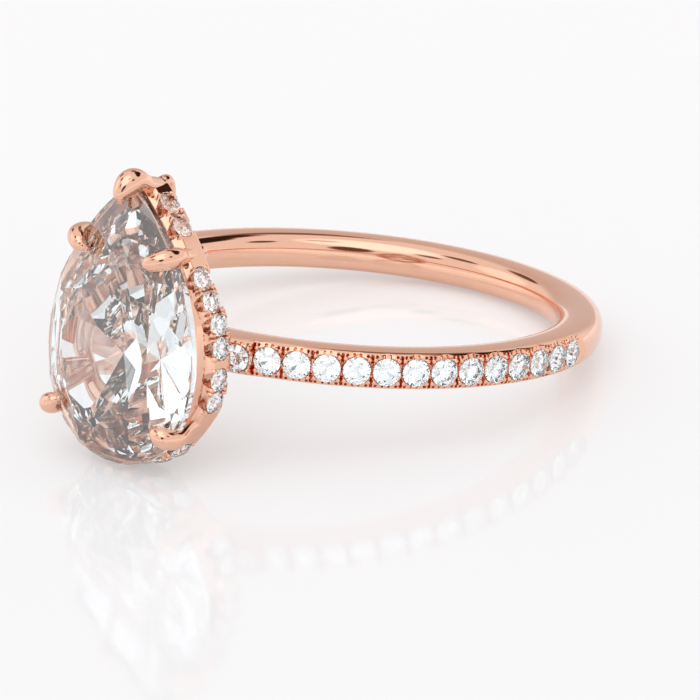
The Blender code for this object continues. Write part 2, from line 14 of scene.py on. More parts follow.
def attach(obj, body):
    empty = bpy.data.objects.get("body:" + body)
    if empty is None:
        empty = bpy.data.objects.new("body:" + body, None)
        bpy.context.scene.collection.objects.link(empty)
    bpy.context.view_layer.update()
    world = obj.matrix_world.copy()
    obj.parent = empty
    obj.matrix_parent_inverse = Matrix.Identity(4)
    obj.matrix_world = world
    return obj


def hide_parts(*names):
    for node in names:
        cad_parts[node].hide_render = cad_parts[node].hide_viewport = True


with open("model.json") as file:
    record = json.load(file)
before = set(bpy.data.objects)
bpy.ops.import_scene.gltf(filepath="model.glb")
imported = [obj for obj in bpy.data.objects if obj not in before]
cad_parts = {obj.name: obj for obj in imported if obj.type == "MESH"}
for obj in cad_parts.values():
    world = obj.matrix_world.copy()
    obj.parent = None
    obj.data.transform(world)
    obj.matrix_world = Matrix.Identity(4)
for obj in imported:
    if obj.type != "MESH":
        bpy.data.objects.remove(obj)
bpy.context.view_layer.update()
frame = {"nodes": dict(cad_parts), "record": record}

# Pear-cut engagement ring: the fine metalwork and the full-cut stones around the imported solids.
# Shapes are worked out in millimetres in ring axes: Z is the finger axis, with the pear's point
# towards +Z, and -Y runs from the finger out through the head. The record's finger mount says where
# those axes lie on the table.

MM = 0.001
WELD = 1e-4

# A bead's height outside the bead, the room around a girdle, and how steeply a seat's cone falls.
OPEN_SPACE = -9.0
SEAT_GAP = 0.02
SEAT_SLOPE = 0.87

# The radius at which a section is spun before it is wrapped round the pear.
SPUN_RADIUS = 10.0

# The turns of the sections around a claw's end, in degrees, and the steps to find a claw's place.
TIP_TURNS = (0, 20, 40, 60, 78)
HALVINGS = 40

Knot = TypeVar("Knot", float, Vector)
logging.basicConfig(level=logging.INFO, format="%(message)s")
log = logging.getLogger("ring")


class Slot(Enum):
    """The record's material slots."""

    METAL = "rose_gold"
    STONE = "diamond"


def eased(share: float) -> float:
    """A share from 0 to 1, smoothed at both ends.

    Args:
        share: Any number; it is held between 0 and 1 first.

    Returns:
        The smoothed share.
    """
    held = min(1.0, max(0.0, share))
    return held * held * (3 - 2 * held)


def ring_axes() -> Matrix:
    """Where the ring's own axes lie on the table, from the record's finger mount.

    Returns:
        A matrix from ring axes in millimetres to the world in metres.
    """
    mount = next(m for m in frame["record"]["mounts"] if m["name"] == "finger")
    axis = Vector(mount["axis"]).normalized()
    tilt = Vector((0, 0, 1)).rotation_difference(axis).to_matrix().to_4x4()
    return Matrix.Translation(mount["pos_m"]) @ tilt @ Matrix.Scale(MM, 4)


AXES = ring_axes()


# ---------------------------------------------------------------- finishes


@dataclass(frozen=True)
class GoldFinish:
    """Polished gold alloy with the faint texture that a buffing wheel leaves.

    Attributes:
        name: The material's name.
        colour: The metal's reflectance, linear.
        smooth: Roughness of the best polished places.
        dull: Roughness of the least polished places.
        darker: The least polished places' share of the colour.
        lighter: The best polished places' share of the colour.
        grain: How many patches of polish there are along a metre.
        ripple: Height of the ripple in metres.
        ripple_grain: How many ripples there are along a metre.
        ripple_strength: How much of the ripple shows.
    """

    name: str
    colour: tuple[float, float, float] = (0.83, 0.49, 0.355)
    smooth: float = 0.05
    dull: float = 0.11
    darker: float = 0.96
    lighter: float = 1.03
    grain: float = 1800.0
    ripple: float = 2e-6
    ripple_grain: float = 4500.0
    ripple_strength: float = 0.35

    def build(self) -> bpy.types.Material:
        """Makes the material.

        Returns:
            The new material.
        """
        material = bpy.data.materials.new(self.name)
        material.use_nodes = True
        tree = material.node_tree
        shader = tree.nodes["Principled BSDF"]
        shader.inputs["Metallic"].default_value = 1.0
        place = tree.nodes.new("ShaderNodeTexCoord").outputs["Object"]
        polish = self._noise(tree, place, self.grain, detail=4.0)
        tint = tree.nodes.new("ShaderNodeValToRGB")
        tint.color_ramp.elements[0].color = (*(self.darker * c for c in self.colour), 1)
        tint.color_ramp.elements[1].color = (*(self.lighter * c for c in self.colour), 1)
        tree.links.new(polish, tint.inputs["Fac"])
        tree.links.new(tint.outputs["Color"], shader.inputs["Base Color"])
        gloss = tree.nodes.new("ShaderNodeMapRange")
        gloss.inputs["To Min"].default_value = self.smooth
        gloss.inputs["To Max"].default_value = self.dull
        tree.links.new(polish, gloss.inputs["Value"])
        tree.links.new(gloss.outputs["Result"], shader.inputs["Roughness"])
        bump = tree.nodes.new("ShaderNodeBump")
        bump.inputs["Strength"].default_value = self.ripple_strength
        bump.inputs["Distance"].default_value = self.ripple
        ripples = self._noise(tree, place, self.ripple_grain, detail=2.0)
        tree.links.new(ripples, bump.inputs["Height"])
        tree.links.new(bump.outputs["Normal"], shader.inputs["Normal"])
        return material

    @staticmethod
    def _noise(
        tree: bpy.types.NodeTree, place: bpy.types.NodeSocket, scale: float, detail: float
    ) -> bpy.types.NodeSocket:
        """One noise over the piece.

        Args:
            tree: The material's node tree.
            place: The coordinates that the noise reads.
            scale: Its scale.
            detail: Its octaves.

        Returns:
            The noise's value socket.
        """
        noise = tree.nodes.new("ShaderNodeTexNoise")
        noise.inputs["Scale"].default_value = scale
        noise.inputs["Detail"].default_value = detail
        tree.links.new(place, noise.inputs["Vector"])
        return noise.outputs["Fac"]


@dataclass(frozen=True)
class DiamondFinish:
    """Colourless diamond with a trace of warm and cool fire.

    Attributes:
        name: The material's name.
        index: Refractive index.
        warm: The warm end of the fire.
        cool: The cool end of the fire.
        cool_end: Where the cool end stops, as a share of the patches' range.
        warm_start: Where the warm end starts.
        sparkle: How many patches of fire there are along a metre.
    """

    name: str
    index: float = 2.42
    warm: tuple[float, float, float] = (0.95, 0.985, 0.99)
    cool: tuple[float, float, float] = (0.87, 0.96, 1.0)
    cool_end: float = 0.35
    warm_start: float = 0.65
    sparkle: float = 1400.0

    def build(self) -> bpy.types.Material:
        """Makes the material.

        Returns:
            The new material.
        """
        material = bpy.data.materials.new(self.name)
        material.use_nodes = True
        tree = material.node_tree
        shader = tree.nodes["Principled BSDF"]
        shader.inputs["Transmission Weight"].default_value = 1.0
        shader.inputs["Roughness"].default_value = 0.0
        shader.inputs["IOR"].default_value = self.index
        place = tree.nodes.new("ShaderNodeTexCoord").outputs["Object"]
        noise = tree.nodes.new("ShaderNodeTexNoise")
        noise.inputs["Scale"].default_value = self.sparkle
        noise.inputs["Detail"].default_value = 1.0
        fire = tree.nodes.new("ShaderNodeValToRGB")
        fire.color_ramp.elements[0].position = self.cool_end
        fire.color_ramp.elements[0].color = (*self.cool, 1)
        fire.color_ramp.elements[1].position = self.warm_start
        fire.color_ramp.elements[1].color = (*self.warm, 1)
        tree.links.new(place, noise.inputs["Vector"])
        tree.links.new(noise.outputs["Fac"], fire.inputs["Fac"])
        tree.links.new(fire.outputs["Color"], shader.inputs["Base Color"])
        return material


@dataclass(frozen=True)
class FloorFinish:
    """A white gloss sheet.

    Attributes:
        name: The material's name.
        colour: Its colour, linear.
        roughness: Its roughness.
        glow: How much light it gives, as it is lit from below.
    """

    name: str
    colour: tuple[float, float, float] = (0.58, 0.58, 0.59)
    roughness: float = 0.07
    glow: float = 0.345

    def build(self) -> bpy.types.Material:
        """Makes the material.

        Returns:
            The new material.
        """
        material = bpy.data.materials.new(self.name)
        material.use_nodes = True
        shader = material.node_tree.nodes["Principled BSDF"]
        shader.inputs["Base Color"].default_value = (*self.colour, 1)
        shader.inputs["Roughness"].default_value = self.roughness
        shader.inputs["Emission Color"].default_value = (1, 1, 1, 1)
        shader.inputs["Emission Strength"].default_value = self.glow
        return material


POLISHED = GoldFinish("rose_gold_polished")
DIAMOND = DiamondFinish("diamond_large")
SMALL_DIAMOND = DiamondFinish("diamond_small", sparkle=5200.0)


# ---------------------------------------------------------------- pieces


def put_in_place(
    bm: bmesh.types.BMesh,
    name: str,
    material: bpy.types.Material,
    nodes: Iterable[str],
    smooth_below: float | None,
) -> bpy.types.Object:
    """Turns a shape in ring axes into a finished piece on the table.

    Args:
        bm: The shape, in millimetres in ring axes. It is freed.
        name: The piece's name.
        material: Its finish.
        nodes: The CAD nodes that it stands for.
        smooth_below: Edges that turn by less than this, in degrees, are shaded smooth. None leaves
            every facet flat.

    Returns:
        The new object.
    """
    bmesh.ops.transform(bm, matrix=AXES, verts=bm.verts)
    bmesh.ops.recalc_face_normals(bm, faces=bm.faces)
    mesh = bpy.data.meshes.new(name)
    for face in bm.faces:
        face.smooth = smooth_below is not None
    bm.to_mesh(mesh)
    bm.free()
    if smooth_below is not None:
        mesh.set_sharp_from_angle(angle=math.radians(smooth_below))
    mesh.materials.append(material)
    piece = bpy.data.objects.new(name, mesh)
    bpy.context.scene.collection.objects.link(piece)
    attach(piece, "root")
    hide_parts(*nodes)
    log.info("%s: %d faces", name, len(mesh.polygons))
    return piece


def add_arc(
    bm: bmesh.types.BMesh,
    section: list[tuple[float, float]],
    start: float,
    angle: float,
    steps: int,
    doublings: int,
) -> None:
    """Spins a closed section through the first stretch of an arc, and doubles it until the arc is full.

    Args:
        bm: The shape to add it to.
        section: The section's points, as radii and heights.
        start: Where the arc starts, in degrees from -Y towards +X.
        angle: How far it goes.
        steps: How many steps the first stretch has.
        doublings: How many times it is doubled.
    """
    arc = bmesh.new()
    verts = [arc.verts.new((0.0, -radius, up)) for radius, up in section]
    edges = [arc.edges.new(pair) for pair in zip(verts, verts[1:] + verts[:1])]
    part = math.radians(angle) / 2**doublings
    around = {"cent": (0, 0, 0)}
    bmesh.ops.spin(arc, geom=verts + edges, axis=(0, 0, 1), angle=part, steps=steps, **around)
    for _ in range(doublings):
        copied = bmesh.ops.duplicate(arc, geom=arc.verts[:] + arc.edges[:] + arc.faces[:])["geom"]
        turned = [item for item in copied if isinstance(item, bmesh.types.BMVert)]
        bmesh.ops.rotate(arc, matrix=Matrix.Rotation(part, 3, "Z"), verts=turned, **around)
        part *= 2
    turn = Matrix.Rotation(math.radians(start), 3, "Z")
    bmesh.ops.rotate(arc, matrix=turn, verts=arc.verts, **around)
    pattern = bpy.data.meshes.new("arc_pattern")
    arc.to_mesh(pattern)
    arc.free()
    bm.from_mesh(pattern)
    bpy.data.meshes.remove(pattern)


@dataclass(frozen=True)
class Seat:
    """Where a stone sits, read from its CAD solid.

    Attributes:
        name: The CAD node's name.
        centre: The middle of its table, in ring axes in millimetres.
        outward: The way its table faces.
        radius: The radius of its girdle.
    """

    name: str
    centre: Vector
    outward: Vector
    radius: float

    @classmethod
    def of(cls, name: str) -> "Seat":
        """Reads a seat from the largest flat face of a CAD stone, its table.

        Args:
            name: The CAD node's name.

        Returns:
            The stone's seat.
        """
        bm = bmesh.new()
        bm.from_mesh(frame["nodes"][name].data)
        bmesh.ops.transform(bm, matrix=AXES.inverted(), verts=bm.verts)
        areas: dict[tuple[float, ...], float] = {}
        sums: dict[tuple[float, ...], Vector] = {}
        for face in bm.faces:
            key = tuple(round(value, 2) for value in face.normal)
            area = face.calc_area()
            areas[key] = areas.get(key, 0.0) + area
            sums[key] = sums.get(key, Vector()) + face.calc_center_median() * area
        table = max(areas, key=lambda key: areas[key])
        outward = Vector(table).normalized()
        centre = sums[table] / areas[table]
        radius = max((v.co - centre - (v.co - centre).project(outward)).length for v in bm.verts)
        bm.free()
        return cls(name, centre, outward, radius)

    def matrix(self, turn: float) -> Matrix:
        """The seat's axes, with Z out of the table.

        Args:
            turn: How far the stone is turned about its own axis, in degrees.

        Returns:
            A matrix from the stone's axes to ring axes.
        """
        facing = Vector((0, 0, 1)).rotation_difference(self.outward).to_matrix().to_4x4()
        return Matrix.Translation(self.centre) @ facing @ Matrix.Rotation(math.radians(turn), 4, "Z")


# ---------------------------------------------------------------- stones


def cut_facet(bm: bmesh.types.BMesh, point: Vector, outward: Vector) -> None:
    """Grinds one flat facet: cuts off what is outside a plane and closes the stone again.

    Args:
        bm: The stone.
        point: A point on the facet.
        outward: The way the facet faces.
    """
    geometry = bm.verts[:] + bm.edges[:] + bm.faces[:]
    bmesh.ops.bisect_plane(
        bm, geom=geometry, dist=WELD, plane_co=point, plane_no=outward, clear_outer=True
    )
    rim = [edge for edge in bm.edges if edge.is_boundary]
    if rim:
        bmesh.ops.holes_fill(bm, edges=rim, sides=0)


def sloped(turn: float, angle: float) -> Vector:
    """The way a facet faces.

    Args:
        turn: Its direction around the stone, in radians.
        angle: Its angle from the girdle plane, in degrees. Below zero is under the girdle.

    Returns:
        A unit vector.
    """
    lean = math.radians(abs(angle))
    flat = math.sin(lean)
    up = math.copysign(math.cos(lean), angle)
    return Vector((math.cos(turn) * flat, math.sin(turn) * flat, up))


@dataclass
class RoundBrilliant:
    """A round brilliant of radius 1, with the middle of its girdle at height 0.

    Attributes:
        table: Radius of the table's corners.
        crown: Angle of the crown's main facets, in degrees.
        star: Angle of the star facets.
        upper: Angle of the upper girdle facets.
        pavilion: Angle of the pavilion's main facets.
        lower: Angle of the lower girdle facets.
        girdle: Thickness of the girdle.
        trim: The table's share of the height at which the mains would bound it.
        mains: How many main facets there are.
        sides: How many sides the rough has.
    """

    table: float = 0.57
    crown: float = 34.0
    star: float = 21.5
    upper: float = 40.5
    pavilion: float = 40.8
    lower: float = 42.3
    girdle: float = 0.05
    trim: float = 0.97
    mains: int = 8
    sides: int = 48

    def table_height(self) -> float:
        """The table's height over the girdle's middle."""
        inward = 1 - self.table * math.cos(math.pi / self.mains)
        return self.girdle / 2 + inward * math.tan(math.radians(self.crown)) * self.trim

    def build(self) -> bmesh.types.BMesh:
        """Cuts the stone from a round rough.

        Returns:
            The stone.
        """
        bm = bmesh.new()
        top = self.table_height()
        bottom = math.tan(math.radians(self.lower)) + self.girdle
        bmesh.ops.create_cone(
            bm, cap_ends=True, segments=self.sides, radius1=1.0, radius2=1.0, depth=top + bottom
        )
        bmesh.ops.translate(bm, vec=(0, 0, (top - bottom) / 2), verts=bm.verts)
        step = 2 * math.pi / self.mains
        edge = self.girdle / 2
        for i in range(self.mains):
            turn = i * step
            rim = Vector((math.cos(turn), math.sin(turn), edge))
            cut_facet(bm, rim, sloped(turn, self.crown))
            cut_facet(bm, rim.reflect(Vector((0, 0, 1))), sloped(turn, -self.pavilion))
            half = turn + step / 2
            reach = self.table * math.cos(step / 2)
            corner = Vector((math.cos(half) * reach, math.sin(half) * reach, top))
            cut_facet(bm, corner, sloped(half, self.star))
            for side in (-1, 1):
                quarter = turn + side * step / 4
                rim = Vector((math.cos(quarter), math.sin(quarter), edge))
                cut_facet(bm, rim, sloped(quarter, self.upper))
                cut_facet(bm, rim.reflect(Vector((0, 0, 1))), sloped(quarter, -self.lower))
        return bm


@dataclass
class SmallStones:
    """Every small round stone, each cut in full and turned its own way in its seat.

    Attributes:
        seats: Where the stones sit.
        cut: How they are cut.
        turn_step: How far each is turned from its neighbour, in degrees.
    """

    seats: list[Seat]
    cut: RoundBrilliant = field(default_factory=RoundBrilliant)
    turn_step: float = 67.0

    def build(self, material: bpy.types.Material) -> None:
        """Makes one piece for each stone.

        Args:
            material: The stones' finish.
        """
        master = self.cut.build()
        pattern = bpy.data.meshes.new("small_stone_pattern")
        master.to_mesh(pattern)
        master.free()
        lower = Matrix.Translation((0, 0, -self.cut.table_height()))
        for i, seat in enumerate(self.seats):
            bm = bmesh.new()
            bm.from_mesh(pattern)
            place = seat.matrix(i * self.turn_step) @ Matrix.Scale(seat.radius, 4) @ lower
            bmesh.ops.transform(bm, matrix=place, verts=bm.verts)
            name = seat.name + "_brilliant"
            put_in_place(bm, name, material, [seat.name], smooth_below=None)
        bpy.data.meshes.remove(pattern)


# ---------------------------------------------------------------- the pear


@dataclass
class PearForm:
    """The outline of the large stone, which the halo, the claws and the collar follow.

    Attributes:
        half_width: Half of its width.
        round_end: From the widest place to the round end.
        point_end: From the widest place to the point.
        widest: Height of the widest place along the finger axis.
        fullness: How square the round end is.
        taper: How straight the sides run to the point.
        girdle_lift: The girdle plane's distance from the finger axis.
        samples: How many stretches the outline is measured in.
        normal_step: How far to each side the outline's direction is taken from, in radians.
    """

    half_width: float = 3.6
    round_end: float = 4.1
    point_end: float = 6.5
    widest: float = -0.2
    fullness: float = 2.2
    taper: float = 0.94
    girdle_lift: float = 12.24
    samples: int = 1440
    normal_step: float = 0.01

    def __post_init__(self) -> None:
        """Measures the outline clockwise from the point."""
        spots = [Vector(self.at(self.turn_of(i / self.samples))) for i in range(self.samples + 1)]
        self.lengths = [0.0]
        for a, b in zip(spots, spots[1:]):
            self.lengths.append(self.lengths[-1] + (b - a).length)
        self.length = self.lengths[-1]

    @staticmethod
    def turn_of(share: float) -> float:
        """The angle from +X at a share of a full turn, clockwise from the point."""
        return math.pi / 2 - 2 * math.pi * share

    def at(self, turn: float, grow: float = 0.0) -> tuple[float, float]:
        """A point of the outline.

        Args:
            turn: Its angle from +X towards the point, in radians.
            grow: How far the outline is grown outwards.

        Returns:
            The point's place across the ring and along the finger axis.
        """
        cosine = math.cos(turn)
        sine = math.sin(turn)
        scale = 1 + grow / self.half_width
        if sine >= 0:
            share = max(0.0, 1 - sine * sine) ** self.taper
            reach = self.point_end * scale * sine
        else:
            share = max(0.0, 1 - (-sine) ** self.fullness) ** (1 / self.fullness)
            reach = self.round_end * scale * sine
        return math.copysign(self.half_width * scale * share, cosine), self.widest + reach

    def turn_at(self, distance: float) -> float:
        """The angle from +X at a distance along the outline.

        Args:
            distance: Clockwise from the point.

        Returns:
            The angle, in radians.
        """
        distance %= self.length
        low, high = 0, self.samples
        while high - low > 1:
            middle = (low + high) // 2
            if self.lengths[middle] <= distance:
                low = middle
            else:
                high = middle
        share = (distance - self.lengths[low]) / (self.lengths[high] - self.lengths[low])
        return self.turn_of((low + share) / self.samples)

    def normal(self, turn: float) -> Vector:
        """The outward direction at an angle, in the girdle plane.

        Args:
            turn: The angle from +X, in radians.

        Returns:
            A unit vector across the ring and along the finger axis.
        """
        before = Vector(self.at(turn + self.normal_step))
        after = Vector(self.at(turn - self.normal_step))
        along = (after - before).normalized()
        return Vector((-along.y, along.x))

    def distance_of(self, x: float, z: float) -> float:
        """How far along the outline the nearest point to a place is.

        Args:
            x: The place across the ring.
            z: The place along the finger axis.

        Returns:
            The distance, clockwise from the point.
        """
        place = Vector((x, z))
        nearest = min(
            range(self.samples),
            key=lambda i: (Vector(self.at(self.turn_of(i / self.samples))) - place).length,
        )
        return self.lengths[nearest]

    def spot(self, x: float, z: float, depth: float) -> Vector:
        """A point in ring axes, at a depth below the girdle plane."""
        return Vector((x, -self.girdle_lift + depth, z))


@dataclass(frozen=True)
class Tier:
    """A row of facets around the large stone, from one share of its outline to another.

    Attributes:
        count: How many facets there are.
        shift: The first one's place past the point, as a share of the way to the next.
        outer: The share of the outline where the facets start.
        outer_height: How high they start, as a share of the crown or the pavilion.
        inner: The share of the outline where they end.
        inner_height: How high they end.
    """

    count: int
    shift: float
    outer: float
    outer_height: float
    inner: float
    inner_height: float


@dataclass
class PearBrilliant:
    """The large stone, with its facets ground row by row.

    Attributes:
        form: The pear's outline.
        girdle: Thickness of the girdle.
        crown: Height of the crown.
        pavilion: Depth of the pavilion.
        table: The table's share of the outline.
        sides: How many sides the girdle has.
        above: The crown's mains, upper facets and stars.
        below: The pavilion's lower facets, mains and culet facets.
    """

    form: PearForm
    girdle: float = 0.2
    crown: float = 1.0
    pavilion: float = 2.7
    table: float = 0.56
    sides: int = 120
    above: tuple[Tier, ...] = (
        Tier(8, 0.0, 1.0, 0.0, 0.56, 1.0),
        Tier(16, 0.5, 1.0, 0.0, 0.80, 0.64),
        Tier(8, 0.5, 0.79, 0.60, 0.53, 1.0),
    )
    below: tuple[Tier, ...] = (
        Tier(16, 0.5, 1.0, 0.0, 0.66, 0.47),
        Tier(24, 0.3, 0.90, 0.125, 0.50, 0.60),
        Tier(8, 0.0, 0.80, 0.26, 0.0, 1.0),
        Tier(16, 0.25, 0.60, 0.475, 0.10, 0.94),
    )

    def build(self, material: bpy.types.Material) -> None:
        """Cuts the stone from a pear-shaped rough and puts it in place.

        Args:
            material: The stone's finish.
        """
        bm = self._rough()
        for tier in self.above:
            self._grind(bm, tier, 1, self.crown)
        for tier in self.below:
            self._grind(bm, tier, -1, self.pavilion)
        swing = Matrix.Rotation(math.radians(90), 4, "X")
        lift = Matrix.Translation((0, -self.form.girdle_lift, 0))
        bmesh.ops.transform(bm, matrix=lift @ swing, verts=bm.verts)
        put_in_place(bm, "pear_brilliant", material, ["centre_stone"], smooth_below=None)

    def _rough(self) -> bmesh.types.BMesh:
        """A prism of the pear's outline, with the girdle's middle at height 0.

        Returns:
            The rough, with the pear's point towards +Y.
        """
        bm = bmesh.new()
        rim = bmesh.ops.create_circle(bm, cap_ends=True, segments=self.sides, radius=1.0)["verts"]
        for vert in rim:
            turn = math.atan2(vert.co.y, vert.co.x)
            vert.co = (*self.form.at(turn), -self.girdle / 2 - self.pavilion)
        made = bmesh.ops.extrude_face_region(bm, geom=bm.faces[:])["geom"]
        top = [item for item in made if isinstance(item, bmesh.types.BMVert)]
        height = self.pavilion + self.girdle + self.crown
        bmesh.ops.translate(bm, vec=(0, 0, height), verts=top)
        bmesh.ops.recalc_face_normals(bm, faces=bm.faces)
        return bm

    def _grind(self, bm: bmesh.types.BMesh, tier: Tier, way: int, height: float) -> None:
        """Grinds one row of facets.

        Args:
            bm: The stone.
            tier: The row.
            way: 1 for the crown, -1 for the pavilion.
            height: Height of the crown, or depth of the pavilion.
        """
        middle = Vector((0, self.form.widest))
        rise = (tier.inner_height - tier.outer_height) * height
        level = way * (self.girdle / 2 + tier.outer_height * height)
        for i in range(tier.count):
            turn = math.pi / 2 + 2 * math.pi * (i + tier.shift) / tier.count
            flat = self.form.normal(turn)
            rim = Vector(self.form.at(turn)) - middle
            run = (rim * (tier.outer - tier.inner)).dot(flat)
            lean = math.atan2(rise, run)
            facing = Vector((*(flat * math.sin(lean)), way * math.cos(lean)))
            cut_facet(bm, Vector((*(middle + rim * tier.outer), level)), facing)


# ---------------------------------------------------------------- pave


@dataclass(frozen=True)
class Edge:
    """The soft edge of a cut in the metal.

    Attributes:
        reach: Where the cut ends, from its middle.
        blur: How wide its sloping side is.
    """

    reach: float
    blur: float

    def inside(self, distance: float) -> float:
        """1 well inside the cut, 0 outside it, and between them on its side."""
        return eased((self.reach - distance) / self.blur)


@dataclass(frozen=True)
class Bead:
    """A round bead of metal pushed over the edge of a stone.

    Attributes:
        radius: Its radius.
        top: The height of its top.
        along: Its place along the row.
        across: Its place from the row's middle.
    """

    radius: float
    top: float
    along: float
    across: float

    def height(self, distance: float) -> float:
        """The bead's height.

        Args:
            distance: From the bead's middle.

        Returns:
            The height, far below the metal outside the bead.
        """
        if distance >= self.radius:
            return OPEN_SPACE
        return self.top - self.radius + math.sqrt(self.radius**2 - distance**2)


def seated(metal: float, distance: float, stone: float, drop: float) -> float:
    """The metal's height after the seat under a stone is cut.

    Args:
        metal: The height before.
        distance: From the stone's middle.
        stone: The stone's radius.
        drop: How far the seat's rim lies below the surface.

    Returns:
        The height after.
    """
    inwards = stone + SEAT_GAP - distance
    return min(metal, -drop - inwards * SEAT_SLOPE) if inwards > 0 else metal


@dataclass(frozen=True)
class BandPave:
    """The cut surface around one stone of the band, as heights over its girdle.

    Attributes:
        stone: Radius of the stone.
        step: Distance between stones along the band.
        sunk: How far the metal beside the stones lies below their girdles.
        ledge: Where the ledge beside the stones starts, from the row's middle.
        slope: How steeply the ledge falls between stones.
        scallop: How much steeper it falls beside a stone.
        seat_drop: How far the rim of a seat lies below the girdle.
        slit: The saw cut between two stones, from its middle.
        slit_end: Its end, from the row's middle.
        slit_depth: Its depth at the row's middle.
        slit_fall: How much deeper it is at its ends.
        slit_floor: Its shallow part, from the row's middle.
        pin: A drilled pinhole.
        pin_depth: Its depth.
        pin_along: Its place from the middle of the slit.
        pin_across: Its place from the row's middle.
        channel: One of the two grooves that run from a stone over the ledge.
        channel_end: Its end, from the row's middle.
        channel_depth: Its depth.
        channel_along: Its place from the stone's middle.
        bead: The beads, placed from the middle of the slit.
    """

    stone: float
    step: float
    sunk: float = 0.03
    ledge: float = 0.46
    slope: float = 0.22
    scallop: float = 0.50
    seat_drop: float = 0.035
    slit: Edge = Edge(0.055, 0.04)
    slit_end: Edge = Edge(0.62, 0.06)
    slit_depth: float = 0.10
    slit_fall: float = 0.16
    slit_floor: Edge = Edge(0.34, 0.08)
    pin: Edge = Edge(0.052, 0.03)
    pin_depth: float = 0.20
    pin_along: float = 0.17
    pin_across: float = 0.55
    channel: Edge = Edge(0.045, 0.03)
    channel_end: Edge = Edge(0.64, 0.08)
    channel_depth: float = 0.11
    channel_along: float = 0.115
    bead: Bead = Bead(0.10, 0.055, 0.115, 0.42)

    def height(self, along: float, across: float) -> float:
        """The height of the metal.

        Args:
            along: From the stone's middle, along the row.
            across: From the row's middle.

        Returns:
            The height over the girdle.
        """
        side = abs(across)
        near = abs(along)
        gap = abs(self.step / 2 - near)
        facing = math.cos(math.pi * min(near, self.step / 2) / self.step) ** 2
        metal = -self.sunk - max(0.0, side - self.ledge) * (self.slope + self.scallop * facing)
        deep = self.slit_depth + self.slit_fall * (1 - self.slit_floor.inside(side))
        metal -= deep * self.slit.inside(gap) * self.slit_end.inside(side)
        drilled = math.hypot(gap - self.pin_along, side - self.pin_across)
        metal -= self.pin_depth * self.pin.inside(drilled)
        if side > self.ledge:
            beside = abs(near - self.channel_along)
            metal -= self.channel_depth * self.channel.inside(beside) * self.channel_end.inside(side)
        metal = seated(metal, math.hypot(near, side), self.stone, self.seat_drop)
        spread = math.hypot(gap - self.bead.along, side - self.bead.across)
        return max(metal, self.bead.height(spread))


@dataclass(frozen=True)
class HaloPave:
    """The cut surface around one stone of the halo, as heights over the wall.

    Attributes:
        stone: Radius of the stone.
        seat_drop: How far the rim of a seat lies below the wall.
        pocket: The U-shaped pocket beside the stone, from its middle line.
        pocket_end: How far the pocket's straight sides run from the stone's middle.
        pocket_depth: Depth of the pocket.
        slit: The saw cut between two stones, from its middle.
        slit_end: Its end, from the row's middle.
        slit_depth: Its depth.
        bead: The beads, placed from the stone's middle where its neighbour is far away.
        bead_inset: Least distance of a bead from the middle of the gap between stones.
        set_back: How far the plain strip beside the girdle lies behind the stones.
        row: The row of stones, beyond which the strip starts, from the row's middle.
        wide: Half of the least distance between stones that have no slit between them.
    """

    stone: float
    seat_drop: float = 0.05
    pocket: Edge = Edge(0.29, 0.06)
    pocket_end: float = 0.35
    pocket_depth: float = 0.40
    slit: Edge = Edge(0.05, 0.04)
    slit_end: Edge = Edge(0.50, 0.10)
    slit_depth: float = 0.16
    bead: Bead = Bead(0.088, 0.075, 0.37, 0.33)
    bead_inset: float = 0.085
    set_back: float = 0.24
    row: Edge = Edge(0.60, 0.30)
    wide: float = 0.48

    def height(self, along: float, down: float, half_step: float) -> float:
        """The height of the metal.

        Args:
            along: From the stone's middle, along the row.
            down: From the row's middle, away from the girdle.
            half_step: Half of the distance to the neighbour on this side.

        Returns:
            The height over the wall.
        """
        near = abs(along)
        side = abs(down)
        wall = self.strip(down)
        end = math.hypot(near, max(0.0, side - self.pocket_end))
        metal = wall - (self.pocket_depth + wall) * self.pocket.inside(end)
        if half_step < self.wide:
            metal -= self.slit_depth * self.slit.inside(half_step - near) * self.slit_end.inside(side)
        metal = seated(metal, math.hypot(near, side), self.stone, self.seat_drop)
        bead_along = min(half_step - self.bead_inset, self.bead.along)
        return max(metal, self.bead.height(math.hypot(near - bead_along, side - self.bead.across)))

    def strip(self, down: float) -> float:
        """The plain wall's height at a distance down from the row's middle."""
        return -self.set_back * (1 - self.row.inside(-down))


# ---------------------------------------------------------------- band


